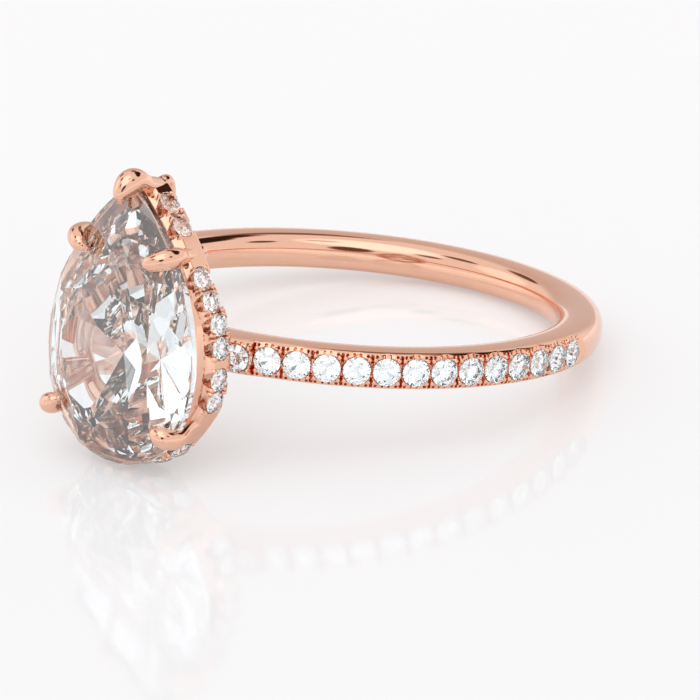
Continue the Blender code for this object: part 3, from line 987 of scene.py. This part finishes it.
@dataclass
class Band:
    """The band: a rounded hoop, plain at the back, cut for its stones along both shoulders.

    Attributes:
        seats: The band's stones.
        inner: Radius of the finger hole.
        thickness: From the finger hole to the outside.
        width: Along the finger axis.
        roundness: 2 is an ellipse, and more is squarer.
        sink: How far the stones' girdles lie below the outside.
        bridge: Thickness under the head.
        bridge_gap: From the first stones to the flat of the bridge, in degrees.
        bridge_ease: How much of the band the flat takes to start, in degrees.
        rise: How far the shoulders climb to meet the head.
        rise_length: How much of the band the climb takes, in degrees.
        outer_share: Where the carved outside starts, as a share of half the thickness.
        end_gap: How far past an end stone its own cuts reach.
        end_drop: How deep the bright cut beside an end stone starts below its girdle.
        end_slope: How steeply that cut climbs to the plain band.
        proud: How far below the girdle the carved metal may still stand over the plain surface.
        bridge_steps: How many sections there are in the stretch that is doubled under the head.
        shoulder_steps: How many there are in the one that is doubled along a shoulder.
        back_steps: How many there are in the one that is doubled around the back.
        outside_angle: How much of the section is closely spaced, in degrees.
        outside_points: How many points it has there.
        plain_points: How many points it has elsewhere.
    """

    seats: list[Seat]
    inner: float = 8.25
    thickness: float = 1.71
    width: float = 1.49
    roundness: float = 2.6
    sink: float = 0.15
    bridge: float = 1.05
    bridge_gap: float = 2.0
    bridge_ease: float = 1.2
    rise: float = 0.33
    rise_length: float = 7.5
    outer_share: float = 0.05
    end_gap: float = 0.03
    end_drop: float = 0.10
    end_slope: float = 0.9
    proud: float = 0.02
    bridge_steps: int = 9
    shoulder_steps: int = 36
    back_steps: int = 14
    outside_angle: float = 128.0
    outside_points: int = 46
    plain_points: int = 17

    def __post_init__(self) -> None:
        """Works out where the stones lie around the band."""
        right = [seat for seat in self.seats if "right" in seat.name]
        turns = [math.degrees(math.atan2(seat.centre.x, -seat.centre.y)) for seat in right]
        self.first = turns[0]
        self.step = (turns[-1] - turns[0]) / (len(turns) - 1)
        self.last = turns[-1]
        self.girdle = self.inner + self.thickness - self.sink
        span = math.radians(self.step) * self.girdle
        self.pave = BandPave(right[0].radius, span)

    def build(self, material: bpy.types.Material) -> None:
        """Spins the section, carves the shoulders and puts the band in place.

        Args:
            material: The metal's finish.
        """
        bm = bmesh.new()
        section = self._section()
        start = self.first - self.step
        span = self.last + self.step - start
        end = start + span
        add_arc(bm, section, -start, 2 * start, self.bridge_steps, doublings=3)
        add_arc(bm, section, start, span, self.shoulder_steps, doublings=4)
        add_arc(bm, section, end, 360 - 2 * end, self.back_steps, doublings=3)
        add_arc(bm, section, -end, span, self.shoulder_steps, doublings=4)
        bmesh.ops.remove_doubles(bm, verts=bm.verts, dist=WELD)
        for vert in bm.verts:
            self._carve(vert)
        bmesh.ops.recalc_face_normals(bm, faces=bm.faces)
        put_in_place(bm, "band_hoop", material, ["band"], smooth_below=35.0)

    def _section(self) -> list[tuple[float, float]]:
        """The band's section, closer spaced on the outside where the stones go.

        Returns:
            The section's points, as radii and heights.
        """
        half = math.radians(self.outside_angle / 2)
        close = [half * (2 * i / self.outside_points - 1) for i in range(self.outside_points)]
        rest = 2 * (math.pi - half)
        wide = [half + rest * i / self.plain_points for i in range(self.plain_points)]
        power = 2 / self.roundness
        points = []
        for turn in close + wide:
            out = math.copysign(abs(math.cos(turn)) ** power, math.cos(turn)) * self.thickness / 2
            up = math.copysign(abs(math.sin(turn)) ** power, math.sin(turn)) * self.width / 2
            points.append((self.inner + self.thickness / 2 + out, up))
        return points

    def climb(self, turn: float) -> float:
        """How far the outside has climbed at an angle from the head, in degrees."""
        return self.rise * eased((self.first + self.rise_length - abs(turn)) / self.rise_length)

    def _carve(self, vert: bmesh.types.BMVert) -> None:
        """Moves one point of the plain hoop to the carved surface.

        Args:
            vert: The point.
        """
        radius = math.hypot(vert.co.x, vert.co.y)
        turn = math.degrees(math.atan2(vert.co.x, -vert.co.y))
        middle = self.inner + self.thickness / 2
        outwards = max(0.0, radius - middle) / (self.thickness / 2)
        base = radius + self.climb(turn) * outwards
        if outwards > self.outer_share:
            base = self._with_stones(base, turn, vert.co.z)
        scale = base / radius
        vert.co.x *= scale
        vert.co.y *= scale
        flat = eased((self.first - self.bridge_gap - abs(turn)) / self.bridge_ease)
        top = self.inner + self.bridge
        if flat > 0 and -vert.co.y > top:
            vert.co.y += (-vert.co.y - top) * flat

    def _with_stones(self, base: float, turn: float, across: float) -> float:
        """The surface around the stones.

        Args:
            base: The plain surface's radius.
            turn: The angle from the head, in degrees.
            across: The place along the finger axis.

        Returns:
            The carved surface's radius.
        """
        place = abs(turn) - self.first
        most = round((self.last - self.first) / self.step)
        index = min(max(round(place / self.step), 0), most)
        along = math.radians(place - index * self.step) * self.girdle
        girdle = self.girdle + self.climb(self.first + index * self.step)
        past = abs(along) - self.pave.step / 2 - self.end_gap
        if past > 0:
            return min(base, girdle - self.end_drop + past * self.end_slope)
        cut = girdle + self.pave.height(along, across)
        return cut if cut > girdle - self.proud else min(base, cut)


# ---------------------------------------------------------------- head


@dataclass(frozen=True)
class Station:
    """One section of the halo's wall.

    Attributes:
        turn: Its angle from +X, in radians.
        height: Its place along the finger axis.
        normal: The way the wall faces there.
        along: The way along the wall from the nearest stone.
        half_step: Half of the distance from that stone to its neighbour.
    """

    turn: float
    height: float
    normal: Vector
    along: float
    half_step: float


@dataclass
class HaloRail:
    """The wall of small stones under the girdle.

    Attributes:
        form: The pear's outline.
        seats: The halo's stones.
        top: Depth of the wall's upper edge below the girdle plane.
        row: Depth of the row of stones beside the band.
        bottom: Depth of the lower edge beside the band.
        dip: How much shallower the row and the lower edge are elsewhere.
        dip_start: How far from the band, along the finger axis, they start to rise.
        dip_end: Where they have risen in full.
        wall: Thickness of the wall.
        rim: Thickness of its upper edge.
        slant: Where the inner face's slant ends, as a share of the way down.
        lip: Rounding of both edges, as a share of the way down and in millimetres inwards.
        lip_points: How many points there are around each edge.
        plain_reach: How far from a stone the plain wall starts, where its neighbour is far away.
        slack: How far a stone's own cuts reach past the middle of the gap.
        stretch: How many sections there are in the stretch that is doubled around the pear.
        doublings: How many times it is doubled.
        face_points: How many points there are down the outer face.
    """

    form: PearForm
    seats: list[Seat]
    top: float = 0.3
    row: float = 1.45
    bottom: float = 2.0
    dip: float = 0.38
    dip_start: float = 1.3
    dip_end: float = 3.1
    wall: float = 0.8
    rim: float = 0.36
    slant: float = 0.45
    lip: float = 0.09
    lip_points: int = 4
    plain_reach: float = 0.54
    slack: float = 0.02
    stretch: int = 31
    doublings: int = 5
    face_points: int = 54

    def __post_init__(self) -> None:
        """Works out where the stones lie along the outline."""
        spots = [self.form.distance_of(seat.centre.x, seat.centre.z) for seat in self.seats]
        self.spots = sorted(spots)
        self.pave = HaloPave(self.seats[0].radius)

    def depth(self, depth: float, height: float) -> float:
        """A depth of the wall, which dips at the band."""
        away = (abs(height) - self.dip_start) / (self.dip_end - self.dip_start)
        return depth - self.dip * eased(away)

    def build(self, material: bpy.types.Material) -> None:
        """Spins the wall's section, wraps it round the pear and cuts the seats.

        Args:
            material: The metal's finish.
        """
        bm = bmesh.new()
        add_arc(bm, self._section(), 0.0, 360.0, self.stretch, self.doublings)
        bmesh.ops.remove_doubles(bm, verts=bm.verts, dist=WELD)
        count = self.stretch * 2**self.doublings
        stations: dict[int, Station] = {}
        for vert in bm.verts:
            share = (math.atan2(vert.co.y, vert.co.x) / (2 * math.pi)) % 1.0
            key = round(share * count) % count
            if key not in stations:
                stations[key] = self._station(key / count)
            self._wrap(vert, stations[key])
        put_in_place(bm, "halo_wall", material, ["halo_rail"], smooth_below=38.0)

    def _section(self) -> list[tuple[float, float]]:
        """The wall's section, with its outer face on the spun radius.

        Returns:
            The section's points, as radii and shares of the way down.
        """
        face = 1 - 2 * self.lip
        edge = [self.lip * (i / self.lip_points) ** 2 for i in range(self.lip_points + 1)]
        upper = [(-back, down) for back, down in zip(reversed(edge), edge)]
        middle = [(0.0, self.lip + face * i / self.face_points) for i in range(1, self.face_points)]
        lower = [(-back, 1 - up) for back, up in zip(edge, reversed(edge))]
        inner = [(-self.wall, 1.0), (-self.wall, self.slant), (-self.rim, 0.0)]
        return [(SPUN_RADIUS + grow, share) for grow, share in upper + middle + lower + inner]

    def _station(self, share: float) -> Station:
        """What every point of one section shares.

        Args:
            share: The section's place, as a share of the way around.

        Returns:
            The section's station.
        """
        distance = share * self.form.length
        turn = self.form.turn_at(distance)
        gaps = [self._gap(distance, spot) for spot in self.spots]
        nearest = min(range(len(gaps)), key=lambda i: abs(gaps[i]))
        along = gaps[nearest]
        beside = self.spots[(nearest + (1 if along >= 0 else -1)) % len(self.spots)]
        half_step = min(self.plain_reach, abs(self._gap(beside, self.spots[nearest])) / 2)
        return Station(turn, self.form.at(turn)[1], self.form.normal(turn), along, half_step)

    def _wrap(self, vert: bmesh.types.BMVert, station: Station) -> None:
        """Moves one point of the spun ring to its place on the pear-shaped wall.

        Args:
            vert: The point.
            station: The point's section.
        """
        grow = math.hypot(vert.co.x, vert.co.y) - SPUN_RADIUS
        low = self.depth(self.bottom, station.height)
        depth = self.top + (low - self.top) * vert.co.z
        if grow > -2 * self.lip:
            down = depth - self.depth(self.row, station.height)
            if abs(station.along) > station.half_step + self.slack:
                grow += self.pave.strip(down)
            else:
                grow += self.pave.height(station.along, down, station.half_step)
        x, z = self.form.at(station.turn, min(grow, 0.0))
        out = station.normal * max(grow, 0.0)
        vert.co = self.form.spot(x + out.x, z + out.y, depth)

    def _gap(self, distance: float, spot: float) -> float:
        """The signed way along the outline from a stone."""
        half = self.form.length / 2
        return (distance - spot + half) % self.form.length - half


@dataclass(frozen=True)
class ClawPlace:
    """One claw's place and shape.

    Attributes:
        node: Its CAD node.
        height: Along the finger axis.
        side: 1 for the right, -1 for the left, 0 for the point.
        droop: How far its tip points below sideways, in degrees.
        lean: How far it leans along the halo towards the band, for each millimetre of depth.
        swell: How much thicker than the shaft it is at the girdle.
        reach: How far its tip lies from the girdle.
        rise: How high its bulb lies over the middle of the girdle.
    """

    node: str
    height: float
    side: int
    droop: float
    lean: float
    swell: float
    reach: float
    rise: float


@dataclass
class Claws:
    """The five claws: a leg from the collar, a shaft in the halo's wall and a bulb on the crown.

    Attributes:
        form: The pear's outline.
        halo: The halo's wall.
        stone: The large stone.
        upper_share: The upper claws' place, as a share of the way from the widest place to the point.
        lower_share: The lower claws' place, as a share of the way to the round end.
        shaft: Radius of the shaft.
        leg: Radius of the leg.
        bulb: Radius of the bulb.
        tip: Radius of the tip.
        set_back: From the outline in to the shaft's middle.
        knee_set_back: The knee's, as a multiple of set_back.
        low_set_back: That of the shaft's lower end.
        bulb_set_back: That of the bulb.
        nose: Knots from the bulb to the tip, as shares of the reach, the tip's height and the bulb.
        foot_lift: Distance of the leg's foot from the finger axis.
        foot_share: The foot's place, as a share of the way out to the outline.
        foot_length: How much of that way the foot runs straight.
        sides: How many sides a claw has.
        steps: How many sections there are from each knot to the next.
    """

    form: PearForm
    halo: HaloRail
    stone: PearBrilliant
    upper_share: float = 0.628
    lower_share: float = 0.615
    shaft: float = 0.3
    leg: float = 0.25
    bulb: float = 0.40
    tip: float = 0.12
    set_back: float = 0.22
    knee_set_back: float = 2.0
    low_set_back: float = 1.5
    bulb_set_back: float = 0.45
    nose: tuple[tuple[float, float, float], ...] = ((0.55, 1.0, 0.84), (0.86, 1.02, 0.52))
    foot_lift: float = 10.1
    foot_share: float = 0.383
    foot_length: float = 0.139
    sides: int = 28
    steps: int = 9

    def places(self) -> Iterator[ClawPlace]:
        """Where the claws stand.

        Yields:
            Each claw's place.
        """
        form = self.form
        upper = form.widest + self.upper_share * form.point_end
        lower = form.widest - self.lower_share * form.round_end
        point = form.widest + form.point_end
        yield ClawPlace(
            "claw_point", point, 0, droop=90.0, lean=0.0, swell=1.55, reach=0.70, rise=0.38
        )
        for word, side in (("right", 1), ("left", -1)):
            yield ClawPlace(
                f"claw_upper_{word}", upper, side, droop=23.0, lean=0.0, swell=1.32, reach=0.88, rise=0.48
            )
            yield ClawPlace(
                f"claw_lower_{word}", lower, side, droop=-30.0, lean=0.33, swell=1.28, reach=0.70, rise=0.55
            )

    def build(self, material: bpy.types.Material) -> None:
        """Makes one piece for each claw.

        Args:
            material: The metal's finish.
        """
        for place in self.places():
            bm = bmesh.new()
            self._add(bm, place)
            name = place.node + "_bent"
            put_in_place(bm, name, material, [place.node], smooth_below=60.0)

    def _distance(self, place: ClawPlace) -> float:
        """How far along the outline a claw stands.

        Args:
            place: The claw's place.

        Returns:
            The distance, clockwise from the point.
        """
        if place.side == 0:
            return 0.0
        low, high = -math.pi / 2, math.pi / 2
        for _ in range(HALVINGS):
            middle = (low + high) / 2
            if self.form.at(middle)[1] < place.height:
                low = middle
            else:
                high = middle
        x, z = self.form.at(low)
        return self.form.distance_of(place.side * x, z)

    def _add(self, bm: bmesh.types.BMesh, place: ClawPlace) -> None:
        """Lofts one claw along its bent path.

        Args:
            bm: The shape to add it to.
            place: The claw's place.
        """
        distance = self._distance(place)
        turn = math.radians(place.droop)
        inwards = Vector((-place.side * math.cos(turn), -math.sin(turn)))
        low = self.halo.depth(self.halo.bottom, place.height)
        below = low + self.leg

        def beside(depth: float) -> Vector:
            """The outline's point beside the claw, at a depth."""
            moved = distance - place.side * place.lean * max(0.0, depth)
            return Vector(self.form.at(self.form.turn_at(moved)))

        def within(inward: float, depth: float) -> Vector:
            """A point that far inwards from the outline, at a depth."""
            flat = beside(depth) + inwards * inward
            return self.form.spot(flat.x, flat.y, depth)

        def above_collar(share: float) -> Vector:
            """A point over the collar, that share of the way out to the outline."""
            flat = Vector((0, self.form.widest)).lerp(beside(below), share)
            return Vector((flat.x, -self.foot_lift, flat.y))

        half = self.stone.girdle / 2
        slope = self.stone.crown / (self.form.half_width * (1 - self.stone.table))
        end = -half - place.reach * slope - self.tip
        swollen = self.shaft * place.swell
        knots = [
            (above_collar(self.foot_share), self.leg),
            (above_collar(self.foot_share + self.foot_length), self.leg),
            (within(self.set_back * self.knee_set_back, below), self.leg),
            (within(self.set_back * self.low_set_back, low - self.shaft), self.shaft),
            (within(self.set_back, self.halo.top + self.shaft), (self.shaft + swollen) / 2),
            (within(0.0, 0.0), swollen),
            (within(self.set_back * self.bulb_set_back, -place.rise), max(self.bulb, swollen)),
        ]
        for out, high, thick in self.nose:
            knots.append((within(place.reach * out, end * high), self.bulb * thick))
        knots.append((within(place.reach, end), self.tip))
        rings = []
        across = Vector((inwards.y, 0, -inwards.x)).normalized()
        path = list(rounded_path(knots, self.steps))
        for i, (spot, radius) in enumerate(path):
            before = path[max(0, i - 1)][0]
            after = path[min(len(path) - 1, i + 1)][0]
            along = (after - before).normalized()
            up = along.cross(across).normalized()
            turned = Matrix((across, up, along)).transposed().to_4x4()
            made = bmesh.ops.create_circle(
                bm,
                cap_ends=i in (0, len(path) - 1),
                segments=self.sides,
                radius=radius,
                matrix=Matrix.Translation(spot) @ turned,
            )["verts"]
            rings.append(made)
        edges = {edge for ring in rings for vert in ring for edge in vert.link_edges}
        bmesh.ops.bridge_loops(bm, edges=list(edges))


def rounded_path(knots: list[tuple[Vector, float]], steps: int) -> Iterator[tuple[Vector, float]]:
    """Points on a smooth curve through the knots, with a rounded end after the last.

    Args:
        knots: Places and radii.
        steps: How many points there are from each knot to the next.

    Yields:
        Each point's place and radius.
    """
    for i in range(len(knots) - 1):
        before = knots[max(0, i - 1)]
        here, there = knots[i], knots[i + 1]
        after = knots[min(len(knots) - 1, i + 2)]
        for j in range(steps):
            t = j / steps
            yield tuple(blend(before[k], here[k], there[k], after[k], t) for k in (0, 1))
    place, radius = knots[-1]
    heading = (place - knots[-2][0]).normalized()
    for turn in TIP_TURNS:
        lean = math.radians(turn)
        yield place + heading * radius * math.sin(lean), radius * math.cos(lean)


def blend(before: Knot, here: Knot, there: Knot, after: Knot, t: float) -> Knot:
    """A value on the smooth curve from here to there.

    Args:
        before: The knot before.
        here: The knot at the start.
        there: The knot at the end.
        after: The knot after.
        t: The share of the way.

    Returns:
        The value, of the knots' own kind.
    """
    start = here * (2 - 5 * t * t + 3 * t**3) + there * (t + 4 * t * t - 3 * t**3)
    return (start + after * (t**3 - t * t) - before * (t - 2 * t * t + t**3)) / 2


@dataclass
class Collar:
    """The base of the head, a small pear-shaped ring on the bridge.

    Attributes:
        form: The pear's outline.
        bottom: The distance of its underside from the finger axis.
        height: Its height.
        wall: Its thickness.
        inner_share: Its inside, as a share of the pear's outline.
        rounding: Rounding of its edges.
        sharp: Edges that turn by more than this, in degrees, are rounded.
        stretch: How many sections there are in the stretch that is doubled around it.
        doublings: How many times it is doubled.
    """

    form: PearForm
    bottom: float = 9.32
    height: float = 0.45
    wall: float = 0.6
    inner_share: float = 0.30
    rounding: float = 0.12
    sharp: float = 60.0
    stretch: int = 10
    doublings: int = 4

    def build(self, material: bpy.types.Material) -> None:
        """Spins the collar's section and wraps it round the pear.

        Args:
            material: The metal's finish.
        """
        bm = bmesh.new()
        corners = ((0, 0), (self.wall, 0), (self.wall, self.height), (0, self.height))
        section = [(SPUN_RADIUS + out, up) for out, up in corners]
        add_arc(bm, section, 0.0, 360.0, self.stretch, self.doublings)
        bmesh.ops.remove_doubles(bm, verts=bm.verts, dist=WELD)
        bmesh.ops.recalc_face_normals(bm, faces=bm.faces)
        sharp = math.radians(self.sharp)
        rims = [edge for edge in bm.edges if edge.calc_face_angle(0) > sharp]
        bmesh.ops.bevel(
            bm,
            geom=rims,
            offset=self.rounding,
            offset_type="OFFSET",
            affect="EDGES",
            segments=3,
            profile=0.5,
            material=-1,
        )
        inner = (self.inner_share - 1) * self.form.half_width
        for vert in bm.verts:
            turn = math.atan2(vert.co.y, vert.co.x)
            out = math.hypot(vert.co.x, vert.co.y) - SPUN_RADIUS
            x, z = self.form.at(turn, inner + out)
            vert.co = (x, -self.bottom - vert.co.z, z)
        put_in_place(bm, "collar_ring", material, ["collar"], smooth_below=50.0)


# ---------------------------------------------------------------- studio


@dataclass(frozen=True)
class Softbox:
    """A patch of the studio's light tent.

    Attributes:
        azimuth: Its direction around the ring, in degrees from +X.
        elevation: Its height over the table, in degrees.
        inner: How far it is full, in degrees from its middle.
        outer: Where it ends.
        gain: What it adds, which is less than 0 for a dark card.
    """

    azimuth: float
    elevation: float
    inner: float
    outer: float
    gain: float


@dataclass
class Studio:
    """A pale gloss table in a light tent, with the camera.

    Attributes:
        camera_azimuth: The camera's direction about the finger axis, in degrees from the head.
        camera_elevation: Its height over the plane of the band, in degrees.
        camera_roll: How far it is rolled.
        camera_distance: From the middle of the band.
        camera_right: How far its aim is moved to the right of the band's middle.
        camera_up: How far its aim is moved up.
        lens: Its focal length over a 36 mm sensor, in millimetres.
        bounces: How many times light turns inside the stones.
        table_radius: Radius of the table, in metres.
        backdrop: The brightness of the backdrop itself.
        white: The tent's colour.
        glow: The colour that its darkest places take in the metal, from the gold around them.
        glow_end: The brightness at which that colour has gone.
        tent: The tent's brightness.
        darkest: The brightness of the darkest card.
        boxes: The softboxes and dark cards.
    """

    camera_azimuth: float = 40.0
    camera_elevation: float = 14.297
    camera_roll: float = 4.874
    camera_distance: float = 223.5
    camera_right: float = 0.302
    camera_up: float = -1.710
    lens: float = 301.3
    bounces: int = 10
    table_radius: float = 3.0
    backdrop: float = 0.96
    white: tuple[float, float, float] = (0.99, 0.99, 1.0)
    glow: tuple[float, float, float] = (1.0, 0.52, 0.34)
    glow_end: float = 0.9
    tent: float = 1.04
    darkest: float = 0.03
    boxes: tuple[Softbox, ...] = (
        Softbox(-60.0, 62.0, 22.0, 36.0, 0.65),
        Softbox(-150.0, 25.0, 12.0, 22.0, 0.35),
        Softbox(135.0, 12.0, 20.0, 42.0, -0.30),
        Softbox(112.0, 48.0, 5.0, 13.0, -0.75),
        Softbox(80.0, 42.0, 11.0, 17.0, -1.0),
        Softbox(60.0, 38.0, 8.0, 14.0, -1.0),
        Softbox(-50.0, 22.0, 9.0, 14.0, -0.90),
        Softbox(10.0, 36.0, 5.0, 9.0, -0.90),
        Softbox(-98.0, 40.0, 5.0, 9.0, -0.90),
        Softbox(-15.0, 62.0, 5.0, 9.0, -0.80),
        Softbox(-140.0, 55.0, 6.0, 10.0, -0.80),
        Softbox(170.0, 35.0, 6.0, 10.0, -0.80),
    )

    def build(self) -> None:
        """Sets the table, the light and the camera."""
        self._table()
        self._tent()
        self._camera()
        scene = bpy.context.scene
        scene.view_settings.view_transform = "Standard"
        scene.cycles.max_bounces = 2 * self.bounces
        scene.cycles.glossy_bounces = self.bounces
        scene.cycles.transmission_bounces = 2 * self.bounces

    def _table(self) -> None:
        """A round white sheet that the ring lies on."""
        bm = bmesh.new()
        bmesh.ops.create_circle(bm, cap_ends=True, segments=96, radius=self.table_radius)
        mesh = bpy.data.meshes.new("table")
        bm.to_mesh(mesh)
        bm.free()
        mesh.materials.append(FloorFinish("table_gloss").build())
        table = bpy.data.objects.new("table", mesh)
        bpy.context.scene.collection.objects.link(table)

    def _tent(self) -> None:
        """The light tent: pale all round, with softboxes and dark cards.

        Light that falls on the table, or comes out of a stone, is plain. Light that the metal reflects
        takes the glow's colour where the tent is dark.
        """
        world = bpy.data.worlds.new("light_tent")
        bpy.context.scene.world = world
        world.use_nodes = True
        tree = world.node_tree
        total = self._boxes(tree)
        light = tree.nodes.new("ShaderNodeLightPath")
        plain = tree.nodes.new("ShaderNodeMath")
        plain.operation = "MAXIMUM"
        tree.links.new(light.outputs["Is Diffuse Ray"], plain.inputs[0])
        tree.links.new(light.outputs["Is Transmission Ray"], plain.inputs[1])
        warmth = tree.nodes.new("ShaderNodeValToRGB")
        warmth.color_ramp.elements[0].color = (*self.glow, 1)
        warmth.color_ramp.elements[1].position = self.glow_end
        tree.links.new(total, warmth.inputs["Fac"])
        colour = tree.nodes.new("ShaderNodeMixRGB")
        colour.inputs["Color2"].default_value = (*self.white, 1)
        tree.links.new(plain.outputs["Value"], colour.inputs["Fac"])
        tree.links.new(warmth.outputs["Color"], colour.inputs["Color1"])
        backdrop = tree.nodes["Background"]
        tree.links.new(colour.outputs["Color"], backdrop.inputs["Color"])
        seen = tree.nodes.new("ShaderNodeMix")
        seen.inputs["B"].default_value = self.backdrop
        tree.links.new(light.outputs["Is Camera Ray"], seen.inputs["Factor"])
        tree.links.new(total, seen.inputs["A"])
        tree.links.new(seen.outputs["Result"], backdrop.inputs["Strength"])

    def _boxes(self, tree: bpy.types.NodeTree) -> bpy.types.NodeSocket:
        """The tent's brightness, with every softbox and card added to it.

        Args:
            tree: The world's node tree.

        Returns:
            The brightness's socket.
        """
        way = tree.nodes.new("ShaderNodeTexCoord").outputs["Generated"]
        start = tree.nodes.new("ShaderNodeValue")
        start.outputs["Value"].default_value = self.tent
        total = start.outputs["Value"]
        for box in self.boxes:
            add = tree.nodes.new("ShaderNodeMath")
            add.operation = "ADD"
            tree.links.new(self._patch(tree, way, box), add.inputs[0])
            tree.links.new(total, add.inputs[1])
            total = add.outputs["Value"]
        clamp = tree.nodes.new("ShaderNodeMath")
        clamp.operation = "MAXIMUM"
        clamp.inputs[1].default_value = self.darkest
        tree.links.new(total, clamp.inputs[0])
        return clamp.outputs["Value"]

    @staticmethod
    def _patch(
        tree: bpy.types.NodeTree, way: bpy.types.NodeSocket, box: Softbox
    ) -> bpy.types.NodeSocket:
        """What one softbox or card adds.

        Args:
            tree: The world's node tree.
            way: The direction that is looked in.
            box: The softbox.

        Returns:
            The socket of what it adds.
        """
        turn = math.radians(box.azimuth)
        lift = math.radians(box.elevation)
        flat = math.cos(lift)
        dot = tree.nodes.new("ShaderNodeVectorMath")
        dot.operation = "DOT_PRODUCT"
        dot.inputs[1].default_value = (flat * math.cos(turn), flat * math.sin(turn), math.sin(lift))
        tree.links.new(way, dot.inputs[0])
        patch = tree.nodes.new("ShaderNodeMapRange")
        patch.interpolation_type = "SMOOTHSTEP"
        patch.inputs["From Min"].default_value = math.cos(math.radians(box.outer))
        patch.inputs["From Max"].default_value = math.cos(math.radians(box.inner))
        patch.inputs["To Max"].default_value = box.gain
        tree.links.new(dot.outputs["Value"], patch.inputs["Value"])
        return patch.outputs["Result"]

    def _camera(self) -> None:
        """The camera, aimed in ring axes and carried over to the table."""
        turn = math.radians(self.camera_azimuth)
        lift = math.radians(self.camera_elevation)
        roll = math.radians(self.camera_roll)
        flat = math.cos(lift)
        back = Vector((math.sin(turn) * flat, -math.cos(turn) * flat, math.sin(lift)))
        level = Vector((math.cos(turn), math.sin(turn), 0))
        above = back.cross(level)
        right = level * math.cos(roll) + above * math.sin(roll)
        up = above * math.cos(roll) - level * math.sin(roll)
        eye = back * self.camera_distance + right * self.camera_right + up * self.camera_up
        turned = Matrix((right, up, back)).transposed().to_4x4()
        camera = bpy.data.objects.new("camera", bpy.data.cameras.new("camera"))
        bpy.context.scene.collection.objects.link(camera)
        rest = AXES @ Matrix.Scale(1 / MM, 4)
        camera.matrix_world = rest @ Matrix.Translation(eye * MM) @ turned
        camera.data.lens = self.lens
        camera.data.sensor_width = 36.0
        camera.data.clip_start = 0.005
        camera.data.clip_end = 20.0
        bpy.context.scene.camera = camera


def seats_named(start: str) -> list[Seat]:
    """The seats of one row of small stones.

    Args:
        start: What their nodes' names start with.

    Returns:
        The seats, in the order of their names.
    """
    return [Seat.of(name) for name in sorted(frame["nodes"]) if name.startswith(start)]


def main() -> None:
    """Builds the ring piece by piece, then the studio around it."""
    polished = POLISHED.build()
    diamond = DIAMOND.build()
    small = SMALL_DIAMOND.build()
    form = PearForm()
    stone = PearBrilliant(form)
    band_seats = seats_named("band_stone_")
    halo_seats = seats_named("halo_stone_")
    Band(band_seats).build(polished)
    SmallStones(band_seats).build(small)
    halo = HaloRail(form, halo_seats)
    halo.build(polished)
    SmallStones(halo_seats).build(small)
    Claws(form, halo, stone).build(polished)
    Collar(form).build(polished)
    stone.build(diamond)
    Studio().build()


if __name__ == "__main__":
    main()
